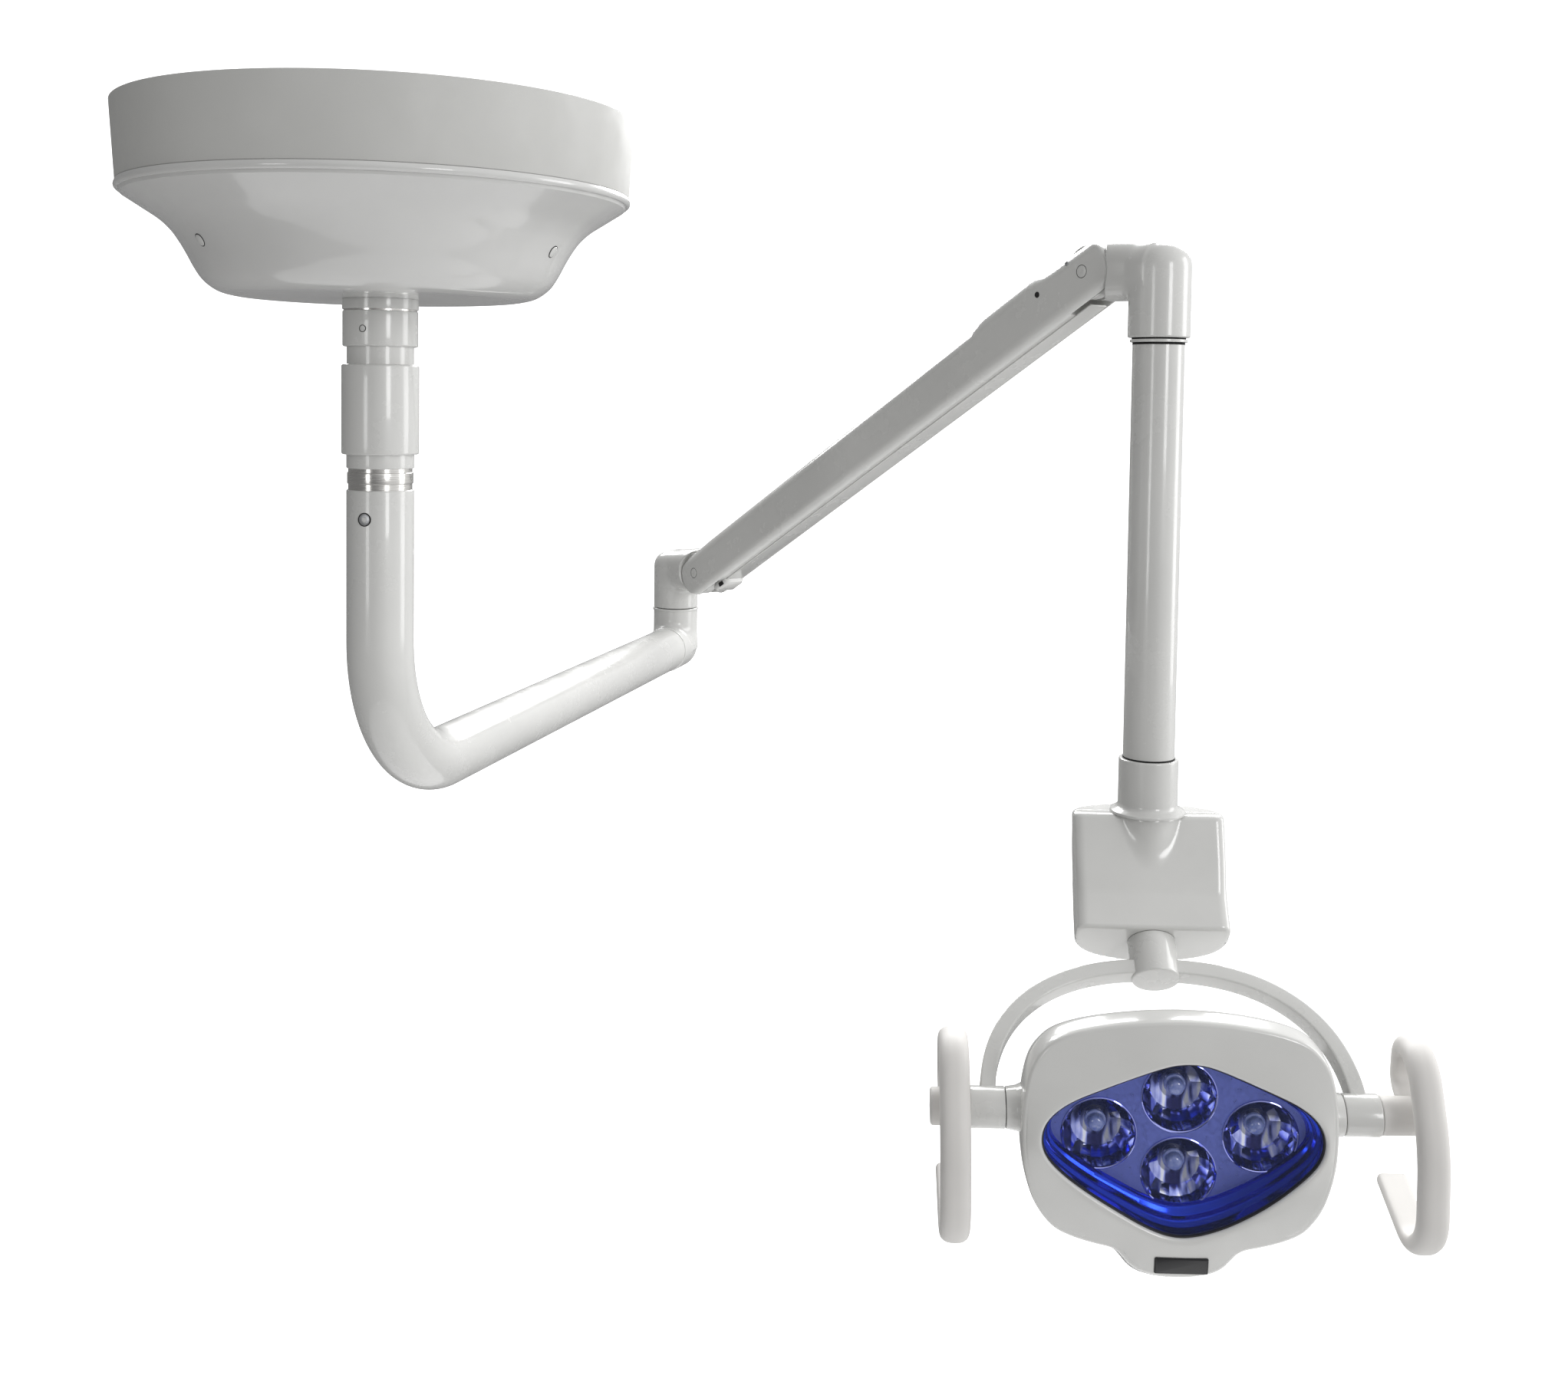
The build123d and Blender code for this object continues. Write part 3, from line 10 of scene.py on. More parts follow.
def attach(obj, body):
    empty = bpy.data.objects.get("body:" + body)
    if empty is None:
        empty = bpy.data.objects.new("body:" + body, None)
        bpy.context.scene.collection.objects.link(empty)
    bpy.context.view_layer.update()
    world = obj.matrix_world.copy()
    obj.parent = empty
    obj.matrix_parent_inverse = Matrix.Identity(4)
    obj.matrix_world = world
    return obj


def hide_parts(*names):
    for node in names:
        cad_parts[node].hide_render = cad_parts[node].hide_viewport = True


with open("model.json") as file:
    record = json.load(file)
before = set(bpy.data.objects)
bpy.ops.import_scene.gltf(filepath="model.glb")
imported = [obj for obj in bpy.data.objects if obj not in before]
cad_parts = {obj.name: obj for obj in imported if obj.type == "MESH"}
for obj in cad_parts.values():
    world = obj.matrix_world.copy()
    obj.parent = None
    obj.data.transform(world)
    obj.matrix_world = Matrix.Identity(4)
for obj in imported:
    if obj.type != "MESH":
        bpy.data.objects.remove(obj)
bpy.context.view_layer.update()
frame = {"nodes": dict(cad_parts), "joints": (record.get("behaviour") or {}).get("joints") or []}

# Shapes are written in millimetres in the frames below and become metres when they are placed.
MM = 0.001


# ------------------------------------------------------------------ frames
def basis(origin, x_dir, z_dir, *body):
    """Frame as (origin, 3x3 matrix whose columns are its axes, the body it rides on), in millimetres."""
    z_axis = Vector(z_dir).normalized()
    x_axis = Vector(x_dir)
    x_axis = (x_axis - z_axis * x_axis.dot(z_axis)).normalized()
    columns = np.array([x_axis, z_axis.cross(x_axis), z_axis], float).T
    return np.array(origin, float), columns, *body


JOINTS = {joint["name"]: joint for joint in frame["joints"]}


def joint_point(name):
    return Vector(JOINTS[name]["pos_m"]) / MM


def joint_axis(name):
    return Vector(JOINTS[name]["axis"]).normalized()


UP = Vector((0, 0, 1))
FACE_TURN = radians(140.3)
ELBOW_POINT = joint_point("elbow_swivel")
LOWER_PIVOT = joint_point("arm_pitch")
UPPER_PIVOT = joint_point("head_leveller")
DROP_POINT = joint_point("drop_swivel")
TILT_POINT = joint_point("head_tilt")
TILT_AXIS = joint_axis("head_tilt")
YOKE_UP = joint_axis("yoke_roll")
FACE = Matrix.Rotation(FACE_TURN, 3, TILT_AXIS) @ YOKE_UP
ELBOW_HEADING = (LOWER_PIVOT - ELBOW_POINT) * Vector((1, 1, 0))
BACK = (YOKE_UP - UP * YOKE_UP.z).normalized()

CEILING = basis((0, 0, 0), (1, 0, 0), UP, "ceiling_mount")
S_ARM = basis((0, 0, 0), (ELBOW_POINT.x, ELBOW_POINT.y, 0), UP, "s_arm")
ELBOW = basis((ELBOW_POINT.x, ELBOW_POINT.y, LOWER_PIVOT.z), ELBOW_HEADING, UP, "elbow")
SPRING_ARM = basis(
    LOWER_PIVOT, UPPER_PIVOT - LOWER_PIVOT, (UPPER_PIVOT - LOWER_PIVOT).cross(joint_axis("arm_pitch")),
    "spring_arm",
)
UPPER = basis((DROP_POINT.x, DROP_POINT.y, UPPER_PIVOT.z), ELBOW_HEADING, UP, "upper_joint")
DROP = basis((DROP_POINT.x, DROP_POINT.y, 0), BACK.cross(UP), UP, "drop_arm")
YOKE = basis(TILT_POINT, TILT_AXIS, YOKE_UP, "yoke_frame")
HEAD = basis(TILT_POINT, TILT_AXIS, FACE, "lamp_head")


# ------------------------------------------------------------------ mesh tools
def add_piece(name, points, faces, place, finish, node=None, sharp=35.0, normals=None):
    """Mesh object from points in a frame, riding on its body and standing for CAD nodes."""
    origin, columns, body = place
    slot, material = finish
    points = (np.asarray(points, float) @ columns.T + origin) * MM
    mesh = bpy.data.meshes.new(name)
    mesh.from_pydata(points.tolist(), [], [tuple(face) for face in faces])
    mesh.update()
    mesh.polygons.foreach_set("use_smooth", [True] * len(mesh.polygons))
    if normals is None:
        tidy = bmesh.new()
        tidy.from_mesh(mesh)
        bmesh.ops.remove_doubles(tidy, verts=tidy.verts, dist=1e-6)
        bmesh.ops.recalc_face_normals(tidy, faces=tidy.faces)
        tidy.to_mesh(mesh)
        tidy.free()
        mesh.set_sharp_from_angle(angle=radians(sharp))
    else:
        mesh.normals_split_custom_set_from_vertices((normals @ columns.T).tolist())
    mesh.materials.append(material)
    piece = bpy.data.objects.new(name, mesh)
    bpy.context.scene.collection.objects.link(piece)
    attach(piece, body)
    if node:
        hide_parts(*([node] if isinstance(node, str) else node))
    return piece


def rounded(corners, steps=5):
    """Polyline whose (a, b, radius) corners become arcs; (a, b) corners stay sharp."""
    path = []
    for index, corner in enumerate(corners):
        here = np.array(corner[:2], float)
        if len(corner) < 3:
            path.append(here)
            continue
        back = np.array(corners[index - 1][:2], float) - here
        ahead = np.array(corners[(index + 1) % len(corners)][:2], float) - here
        back_length, ahead_length = np.linalg.norm(back), np.linalg.norm(ahead)
        back, ahead = back / back_length, ahead / ahead_length
        half = np.arccos(np.clip(back @ ahead, -1, 1)) / 2
        reach = min(corner[2] / tan(half), 0.49 * back_length, 0.49 * ahead_length)
        middle = (back + ahead) / np.linalg.norm(back + ahead)
        centre = here + middle * reach / cos(half)
        first, last = here + back * reach - centre, here + ahead * reach - centre
        turn = pi - 2 * half
        for step in range(steps + 1):
            share = step / steps
            path.append(centre + (sin((1 - share) * turn) * first + sin(share * turn) * last) / sin(turn))
    return np.array(path)


def flowing(points, steps=8, closed=False):
    """Catmull-Rom curve through points of any dimension."""
    points = np.asarray(points, float)
    if closed:
        padded = np.vstack([points[-1], points, points[0], points[1]])
    else:
        padded = np.vstack([2 * points[0] - points[1], points, 2 * points[-1] - points[-2]])
    curve = []
    for before, start, end, after in zip(padded, padded[1:], padded[2:], padded[3:]):
        for share in np.arange(steps) / steps:
            curve.append(
                0.5 * (2 * start + (end - before) * share
                       + (2 * before - 5 * start + 4 * end - after) * share ** 2
                       + (3 * start - before - 3 * end + after) * share ** 3)
            )
    if not closed:
        curve.append(points[-1])
    return np.array(curve)


def skin(rings, wrap=True, first_cap=False, last_cap=False, loop=False):
    """Quads between rings of equal length, with optional flat or pointed caps."""
    rings = np.asarray(rings, float)
    count, size = rings.shape[:2]
    points = rings.reshape(-1, 3)
    faces = []
    rows = count if loop else count - 1
    columns = size if wrap else size - 1
    for row in range(rows):
        here, there = row * size, (row + 1) % count * size
        for column in range(columns):
            right = (column + 1) % size
            faces.append((here + column, here + right, there + right, there + column))
    if first_cap:
        faces.append(tuple(range(size - 1, -1, -1)))
    if last_cap:
        faces.append(tuple(range((count - 1) * size, count * size)))
    return points, faces


def joined(*shapes):
    """Several (points, faces) shapes as one."""
    points, faces, offset = [], [], 0
    for shape_points, shape_faces in shapes:
        points.append(np.asarray(shape_points, float))
        faces += [tuple(index + offset for index in face) for face in shape_faces]
        offset += len(shape_points)
    return np.vstack(points), faces


def lathe(profile, closed=True, segments=96):
    """Surface of revolution about local Z from (radius, height) points."""
    profile = np.asarray(profile, float)
    angles = 2 * pi * np.arange(segments) / segments
    rings = np.stack([
        profile[:, :1] * np.cos(angles), profile[:, :1] * np.sin(angles),
        np.repeat(profile[:, 1:2], segments, axis=1),
    ], axis=-1)
    return skin(rings, loop=closed)


def turned(shape, x_dir, z_dir, origin=(0, 0, 0)):
    """A shape moved from the local axes to another frame of the same piece."""
    origin, columns = basis(origin, x_dir, z_dir)
    return np.asarray(shape[0]) @ columns.T + origin, shape[1]


def smooth_max(first, second, blend):
    overlap = np.clip(1 - np.abs(first - second) / blend, 0, 1)
    return np.maximum(first, second) + overlap ** 2 * blend / 4


def smooth_min(first, second, blend):
    return -smooth_max(-first, -second, blend)


def rounded_box_2d(across, up, half_across, half_up, radius):
    """Signed distance to a rounded rectangle centred on the axis."""
    out_across = np.abs(across) - half_across + radius
    out_up = np.abs(up) - half_up + radius
    outside = np.hypot(np.maximum(out_across, 0), np.maximum(out_up, 0))
    return outside + np.minimum(np.maximum(out_across, out_up), 0) - radius


def solid_from(field, low, high, step):
    """Smooth quad mesh of field = 0, by surface nets and then Newton steps onto the surface."""
    counts = [int(ceil((top - bottom) / step)) + 1 for bottom, top in zip(low, high)]
    axes = [bottom + step * np.arange(count) for bottom, count in zip(low, counts)]
    grid = np.stack(np.meshgrid(*axes, indexing="ij"), axis=-1)
    value = field(grid[..., 0], grid[..., 1], grid[..., 2])
    cells = tuple(count - 1 for count in counts)
    total = np.zeros(cells + (3,))
    hits = np.zeros(cells)
    crossings = []
    for axis in range(3):
        near = tuple(slice(None, -1) if a == axis else slice(None) for a in range(3))
        far = tuple(slice(1, None) if a == axis else slice(None) for a in range(3))
        crossed = (value[near] < 0) != (value[far] < 0)
        gap = np.where(crossed, value[near] - value[far], 1.0)
        at = grid[near].copy()
        at[..., axis] += step * value[near] / gap
        at *= crossed[..., None]
        crossings.append((crossed, value[near] < 0))
        others = [a for a in range(3) if a != axis]
        for first in (0, 1):
            for second in (0, 1):
                window = [slice(None)] * 3
                window[others[0]] = slice(first, first + cells[others[0]])
                window[others[1]] = slice(second, second + cells[others[1]])
                total += at[tuple(window)]
                hits += crossed[tuple(window)]
    active = hits > 0
    number = np.full(cells, -1)
    number[active] = np.arange(active.sum())
    points = total[active] / hits[active][:, None]
    faces = []
    for axis, (crossed, leaving) in enumerate(crossings):
        second, third = (axis + 1) % 3, (axis + 2) % 3
        spots = np.argwhere(crossed)
        inner = (spots[:, second] > 0) & (spots[:, third] > 0)
        inner &= (spots[:, second] < counts[second] - 1) & (spots[:, third] < counts[third] - 1)
        spots = spots[inner]
        outward = leaving[tuple(spots.T)]
        corners = []
        for down_second, down_third in ((1, 1), (0, 1), (0, 0), (1, 0)):
            cell = spots.copy()
            cell[:, second] -= down_second
            cell[:, third] -= down_third
            corners.append(number[tuple(cell.T)])
        quads = np.stack(corners, axis=1)
        quads[~outward] = quads[~outward][:, ::-1]
        faces += quads.tolist()
    for _ in range(5):
        slope = slope_of(field, points, 0.02)
        move = slope * (field(*points.T) / np.maximum((slope ** 2).sum(1), 0.2))[:, None]
        length = np.linalg.norm(move, axis=1, keepdims=True)
        points = points - move * np.minimum(1, 0.5 * step / np.maximum(length, 1e-9))
    return points, faces


def slope_of(field, points, nudge):
    return np.stack([
        field(*(points + nudge * unit).T) - field(*(points - nudge * unit).T) for unit in np.eye(3)
    ], axis=1) / (2 * nudge)


def add_solid(name, field, low, high, step, *rest):
    """Piece bounded by field = 0, shaded with the field's own normals."""
    points, faces = solid_from(field, low, high, step)
    slope = slope_of(field, points, 0.45)
    normals = slope / np.maximum(np.linalg.norm(slope, axis=1, keepdims=True), 1e-9)
    return add_piece(name, points, faces, *rest, normals=normals)


# ------------------------------------------------------------------ materials
def new_material(name, base, roughness, metallic=0.0, coat=0.0, coat_roughness=0.05, alpha=1.0,
                 specular=0.5, ior=1.5):
    material = bpy.data.materials.new(name)
    material.use_nodes = True
    shader = material.node_tree.nodes["Principled BSDF"]
    for key, value in (("Base Color", (*base, 1)), ("Roughness", roughness), ("Metallic", metallic),
                       ("Coat Weight", coat), ("Coat Roughness", coat_roughness), ("Alpha", alpha),
                       ("Specular IOR Level", specular), ("IOR", ior)):
        shader.inputs[key].default_value = value
    return material, shader


def add_node(material, kind, **values):
    node = material.node_tree.nodes.new(kind)
    for key, value in values.items():
        if key in node.inputs:
            node.inputs[key].default_value = value
        else:
            setattr(node, key, value)
    return node


def link(material, source, target):
    material.node_tree.links.new(source, target)


def noise(material, scale, detail=3.0, stretch=None, roughness=0.5):
    """Noise in object space, in cells per metre, optionally stretched along an axis."""
    coordinates = add_node(material, "ShaderNodeTexCoord")
    mapping = add_node(material, "ShaderNodeMapping")
    mapping.inputs["Scale"].default_value = stretch or (1, 1, 1)
    texture = add_node(material, "ShaderNodeTexNoise", Scale=scale, Detail=detail, Roughness=roughness)
    link(material, coordinates.outputs["Object"], mapping.inputs["Vector"])
    link(material, mapping.outputs["Vector"], texture.inputs["Vector"])
    return texture.outputs["Fac"]


def between(material, factor, low, high, start=0.3, end=0.7):
    """Map a noise value to a range of one shader number."""
    ramp = add_node(material, "ShaderNodeMapRange")
    for key, value in (("From Min", start), ("From Max", end), ("To Min", low), ("To Max", high)):
        ramp.inputs[key].default_value = value
    link(material, factor, ramp.inputs["Value"])
    return ramp.outputs["Result"]


def colour_between(material, factor, low, high, start=0.3, end=0.7):
    ramp = add_node(material, "ShaderNodeValToRGB")
    ramp.color_ramp.elements[0].position = start
    ramp.color_ramp.elements[0].color = (*low, 1)
    ramp.color_ramp.elements[1].position = end
    ramp.color_ramp.elements[1].color = (*high, 1)
    link(material, factor, ramp.inputs["Fac"])
    return ramp.outputs["Color"]


def bumps(material, shader, layers):
    """Chain of bump layers, each (height value, strength, distance in metres)."""
    previous = None
    for height, strength, distance in layers:
        bump = add_node(material, "ShaderNodeBump", Strength=strength, Distance=distance)
        link(material, height, bump.inputs["Height"])
        if previous:
            link(material, previous, bump.inputs["Normal"])
        previous = bump.outputs["Normal"]
    link(material, previous, shader.inputs["Normal"])


def shade(colour, factor):
    return tuple(channel * factor for channel in colour)


def painted(name, base, roughness, coat, peel=0.12, cell=450.0):
    """Sprayed paint: orange peel, faint handling smudges and slow tone changes."""
    material, shader = new_material(name, base, roughness, coat=coat, coat_roughness=0.06)
    tone = colour_between(material, noise(material, 9, 4), shade(base, 0.955), shade(base, 1.03))
    link(material, tone, shader.inputs["Base Color"])
    smudge = between(material, noise(material, 26, 6, roughness=0.62), roughness * 0.75, roughness * 1.5)
    link(material, smudge, shader.inputs["Roughness"])
    bumps(material, shader, [
        (noise(material, cell, 1.5), peel, 0.00008),
        (noise(material, 2600, 2), 0.05, 0.00003),
    ])
    return material


def moulded(name, base, roughness, coat=0.0, grain=0.2, cell=1900.0):
    """Injection-moulded plastic: fine grain over a slow waviness."""
    material, shader = new_material(name, base, roughness, coat=coat, coat_roughness=0.08)
    tone = colour_between(material, noise(material, 14, 5), shade(base, 0.96), shade(base, 1.025))
    link(material, tone, shader.inputs["Base Color"])
    link(material, between(material, noise(material, 38, 5), roughness * 0.8, roughness * 1.3),
         shader.inputs["Roughness"])
    bumps(material, shader, [
        (noise(material, 70, 2), 0.05, 0.0002),
        (noise(material, cell, 3), grain, 0.00005),
    ])
    return material


def metal(name, base, roughness, stretch=(1, 1, 40), cell=90.0, scratch=0.12):
    """Turned or drawn metal: fine lines across the stretched axis."""
    material, shader = new_material(name, base, roughness, metallic=1.0)
    lines = noise(material, cell, 4, stretch=stretch)
    link(material, between(material, lines, roughness * 0.6, roughness * 1.5), shader.inputs["Roughness"])
    link(material, colour_between(material, lines, shade(base, 0.86), shade(base, 1.08)),
         shader.inputs["Base Color"])
    bumps(material, shader, [(lines, scratch, 0.00004)])
    return material


def mirror(name, base, roughness, ripple=0.04):
    """Vacuum-metallised plastic with a slight ripple."""
    material, shader = new_material(name, base, roughness, metallic=1.0)
    link(material, colour_between(material, noise(material, 40, 3), shade(base, 0.92), shade(base, 1.06)),
         shader.inputs["Base Color"])
    link(material, between(material, noise(material, 300, 3), roughness * 0.8, roughness * 1.4),
         shader.inputs["Roughness"])
    bumps(material, shader, [(noise(material, 160, 2), ripple, 0.0002)])
    return material


ENAMEL_TONE = (0.60, 0.60, 0.585)
ENAMEL = painted("white_enamel", ENAMEL_TONE, 0.22, 0.6)
BOWL_ENAMEL = painted("bowl_enamel", (0.57, 0.57, 0.56), 0.14, 0.55, peel=0.06)
BAND_PAINT = painted("matte_enamel", (0.50, 0.50, 0.485), 0.5, 0.0, peel=0.25, cell=1400)
HOUSING = moulded("white_plastic", (0.62, 0.62, 0.605), 0.2, coat=0.7, grain=0.05)
HANDLE = moulded("handle_plastic", (0.66, 0.645, 0.625), 0.55, grain=0.5, cell=1500)
STAINLESS = metal("stainless", (0.62, 0.61, 0.59), 0.2)
ZINC = metal("zinc_steel", (0.50, 0.51, 0.52), 0.38, stretch=(1, 1, 1), cell=60)
DARK_STEEL = metal("dark_steel", (0.09, 0.09, 0.095), 0.4)
SPRING_WIRE = metal("spring_steel", (0.20, 0.20, 0.21), 0.3, stretch=(1, 1, 6))
BRONZE = metal("bronze", (0.50, 0.36, 0.17), 0.35)
ALUMINIUM = metal("aluminium", (0.60, 0.61, 0.62), 0.35, stretch=(30, 1, 1))
BLUE_PLATE = mirror("blue_mirror", (0.17, 0.21, 0.62), 0.34, ripple=0.005)
# The rim's blue mirror is a darker copy of the plate's, painted shade on the stepped wall.
BLUE_RIM_SHADED = mirror("blue_rim_painted_shade", (0.012, 0.035, 0.42), 0.12, ripple=0.01)
SILVER = mirror("silver_mirror", (0.36, 0.39, 0.80), 0.06, ripple=0.01)
RUBBER = moulded("black_seal", (0.012, 0.012, 0.014), 0.6, grain=0.3)
# Painted shade: a near-black finish for pieces set into gaps, wells, seams and holes where only shade falls.
PAINTED_SHADE = moulded("painted_shade_black", (0.01, 0.01, 0.01), 0.9, grain=0.3)
DISPLAY_BLACK = moulded("display_black", (0.008, 0.008, 0.010), 0.3, coat=0.15, grain=0.02)
BOARD = moulded("circuit_board", (0.03, 0.14, 0.06), 0.35, grain=0.3, cell=700)
LINING = moulded("brake_lining", (0.10, 0.09, 0.08), 0.8, grain=0.9, cell=600)


def clear_plastic():
    material, shader = new_material("clear_cover", (0.35, 0.42, 0.90), 0.03, alpha=0.05, specular=0.6)
    link(material, between(material, noise(material, 30, 5), 0.02, 0.07), shader.inputs["Roughness"])
    return material


def led_dome():
    """Silicone dome over a pale phosphor, coloured blue with lighter and darker spots as a painted reflection
    of the blue tray around it.
    """
    material, shader = new_material("led_yellow", (0.60, 0.66, 0.95), 0.05, coat=1.0, coat_roughness=0.02)
    shader.inputs["Transmission Weight"].default_value = 0.35
    # Painted reflection: the blue base colour and its spots.
    link(material, colour_between(material, noise(material, 260, 2), (0.22, 0.30, 0.72), (0.42, 0.50, 0.95)),
         shader.inputs["Base Color"])
    return material


def mirror_with_painted_reflections():
    """Mirror metal with painted reflections: bright and dark streaks on the staves, and painted shade over the
    upper part, the way a deep mirror cup breaks up a room.
    """
    material, shader = new_material("silver_mirror", (0.36, 0.39, 0.80), 0.06, metallic=1.0)
    coordinates = add_node(material, "ShaderNodeTexCoord")
    stretched = add_node(material, "ShaderNodeMapping")
    stretched.inputs["Scale"].default_value = (9.0, 1.0, 2.6)
    link(material, coordinates.outputs["Generated"], stretched.inputs["Vector"])
    # Painted reflections: stretched noise through the ramp below makes bright and dark streaks.
    reflection_streaks = add_node(material, "ShaderNodeTexNoise")
    reflection_streaks.inputs["Scale"].default_value = 1.0
    reflection_streaks.inputs["Detail"].default_value = 1.0
    link(material, stretched.outputs["Vector"], reflection_streaks.inputs["Vector"])
    reflection_tones = add_node(material, "ShaderNodeValToRGB")
    for position, colour in ((0.38, (0.03, 0.03, 0.12)), (0.44, (0.20, 0.24, 0.62)), (0.52, (0.50, 0.55, 1.0)),
                             (0.62, (0.85, 0.88, 1.0))):
        stop = reflection_tones.color_ramp.elements.new(position)
        stop.color = (*colour, 1)
    reflection_tones.color_ramp.elements[0].color = (0.008, 0.008, 0.02, 1)
    reflection_tones.color_ramp.elements[-1].color = (0.9, 0.92, 1.0, 1)
    link(material, reflection_streaks.outputs["Fac"], reflection_tones.inputs["Fac"])
    # Painted shade: the upper part of the cup is blended towards near-black.
    parts = add_node(material, "ShaderNodeSeparateXYZ")
    link(material, coordinates.outputs["Generated"], parts.inputs["Vector"])
    shade_above = between(material, parts.outputs["Z"], 0.0, 0.93, 0.50, 0.66)
    blend = add_node(material, "ShaderNodeMix")
    blend.data_type = "RGBA"
    blend.inputs["B"].default_value = (0.006, 0.006, 0.016, 1)
    link(material, shade_above, blend.inputs["Factor"])
    link(material, reflection_tones.outputs["Color"], blend.inputs["A"])
    link(material, blend.outputs["Result"], shader.inputs["Base Color"])
    return material


CUP_PAINTED_REFLECTIONS = mirror_with_painted_reflections()
CLEAR = clear_plastic()
LED = led_dome()

# Finishes used on many pieces, as (slot, material)
WHITE = ("white_enamel", ENAMEL)
# SHADOW is that painted shade finish, in the same slot as the black seal.
SHADOW = ("black_seal", PAINTED_SHADE)
PLASTIC = ("white_plastic", HOUSING)


# ------------------------------------------------------------------ sweeps
def circle_section(radius, count=64):
    angles = 2 * pi * np.arange(count) / count
    return np.stack([radius * np.cos(angles), radius * np.sin(angles)], axis=1)


def box_section(half_first, half_second, radius, steps=6):
    corners = [(half_first, -half_second, radius), (half_first, half_second, radius),
               (-half_first, half_second, radius), (-half_first, -half_second, radius)]
    return rounded(corners, steps)


def fine_path(path, longest):
    """Path with its long straight parts cut into equal steps."""
    points = [path[0]]
    for start, end in zip(path, path[1:]):
        pieces = max(1, int(ceil(np.linalg.norm(end - start) / longest)))
        points += [start + (end - start) * (step + 1) / pieces for step in range(pieces)]
    return np.array(points)


def bent_line(corners, bends, steps=14):
    """Open polyline whose inner corners have the given bend radii."""
    path = [np.array(corners[0], float)]
    for index, bend in enumerate(bends, start=1):
        corner = (*corners[index], bend)
        path += list(rounded([corners[index - 1], corner, corners[index + 1]], steps))[1:-1]
    path.append(np.array(corners[-1], float))
    return np.array(path)


def flat_sweep(path, section, start_round=0.0, end_round=0.0, steps=5):
    """Sweep a closed section along a flat path, as (path x, section second axis, path y) points.

    The section's first axis lies in the path's plane and its second axis stands on that plane.
    start_round and end_round are the rounding radii of the two ends, 0 for a plain cut.
    """
    path = np.asarray(path, float)
    ahead = np.gradient(path, axis=0)
    ahead /= np.linalg.norm(ahead, axis=1)[:, None]
    size = np.abs(section).max(0)
    stations = []
    if start_round:
        for step in range(steps + 1):
            angle = pi / 2 * step / steps
            stations.append((path[0] + ahead[0] * start_round * (1 - sin(angle)), ahead[0],
                             start_round * (1 - cos(angle))))
        stations.reverse()
        path, ahead = path[1:], ahead[1:]
    body = [(point, direction, 0.0) for point, direction in zip(path, ahead)]
    if end_round:
        body = body[:-1]
        for step in range(steps + 1):
            angle = pi / 2 * step / steps
            body.append((path[-1] - ahead[-1] * end_round * (1 - sin(angle)), ahead[-1],
                         end_round * (1 - cos(angle))))
    rings = []
    for point, direction, shrink in stations + body:
        scale = np.maximum(size - shrink, 0.02) / size
        across = np.array([-direction[1], direction[0]])
        flat = point + (section[:, :1] * scale[0]) * across
        rings.append(np.stack([flat[:, 0], section[:, 1] * scale[1], flat[:, 1]], axis=1))
    return skin(rings, first_cap=True, last_cap=True)


# ------------------------------------------------------------------ ceiling mount
RIM_RADIUS = 182.6
SEAM_RADIUS = 179.0
SEAM_Z = -55.0

band = rounded([(SEAM_RADIUS - 2.6, -52.5), (RIM_RADIUS - 2.6, 0), (RIM_RADIUS, 0, 0.8),
                (SEAM_RADIUS, SEAM_Z, 0.7), (SEAM_RADIUS - 13, SEAM_Z), (SEAM_RADIUS - 13, -52.5)])
add_piece("canopy_band_skin", *lathe(band, segments=160), CEILING, ("matte_enamel", BAND_PAINT),
          "canopy_band")

bowl_outer = np.vstack([
    rounded([(SEAM_RADIUS - 3, SEAM_Z - 0.15), (SEAM_RADIUS + 0.1, SEAM_Z - 0.15, 0.3), (180.6, -58.6, 3),
             (177.0, -62.2, 2)], 4)[:-1],
    flowing([(176.0, -62.8), (164, -70.5), (152, -78.4), (144.2, -85.6), (139, -92.5), (133.6, -101.5),
             (127.5, -113), (121.6, -121.3), (113, -127.6), (104, -130.2), (96, -131)], 5),
    [(60, -131), (27, -131), (26.5, -130.6), (26.5, -128)],
])
bowl_inner = bowl_outer[::-1] + np.array([-2.6, 2.6])
bowl_inner[:, 0] = np.maximum(bowl_inner[:, 0], 26.5)
add_piece("canopy_bowl_skin", *lathe(np.vstack([bowl_outer, bowl_inner[2:]]), segments=160), CEILING,
          ("white_enamel", BOWL_ENAMEL), "canopy_bowl")

CAP_Z = -98.0
CAP_SEAT = 135.6
CAP_LEAN = radians(31)
for number, azimuth in enumerate((-136.0, -16.0, 104.0)):
    outward = Vector((cos(radians(azimuth)), sin(radians(azimuth)), 0))
    tilt = outward * cos(CAP_LEAN) - UP * sin(CAP_LEAN)
    seat = outward * CAP_SEAT + UP * CAP_Z
    cap = lathe(rounded([(0.01, -2), (4.2, -2), (4.2, 0.7, 0.5), (0.01, 0.9)]), closed=False, segments=40)
    add_piece(f"canopy_cap_{number}", *turned(cap, UP, tilt, seat), CEILING, PLASTIC, "canopy_caps")
    # Painted shade: a near-black ring in the gap round each cap.
    gap = lathe([(4.2, -2), (4.8, -2), (4.8, 0.25), (4.2, 0.25)], segments=40)
    add_piece(f"canopy_cap_gap_{number}", *turned(gap, UP, tilt, seat), CEILING, SHADOW, "canopy_caps")

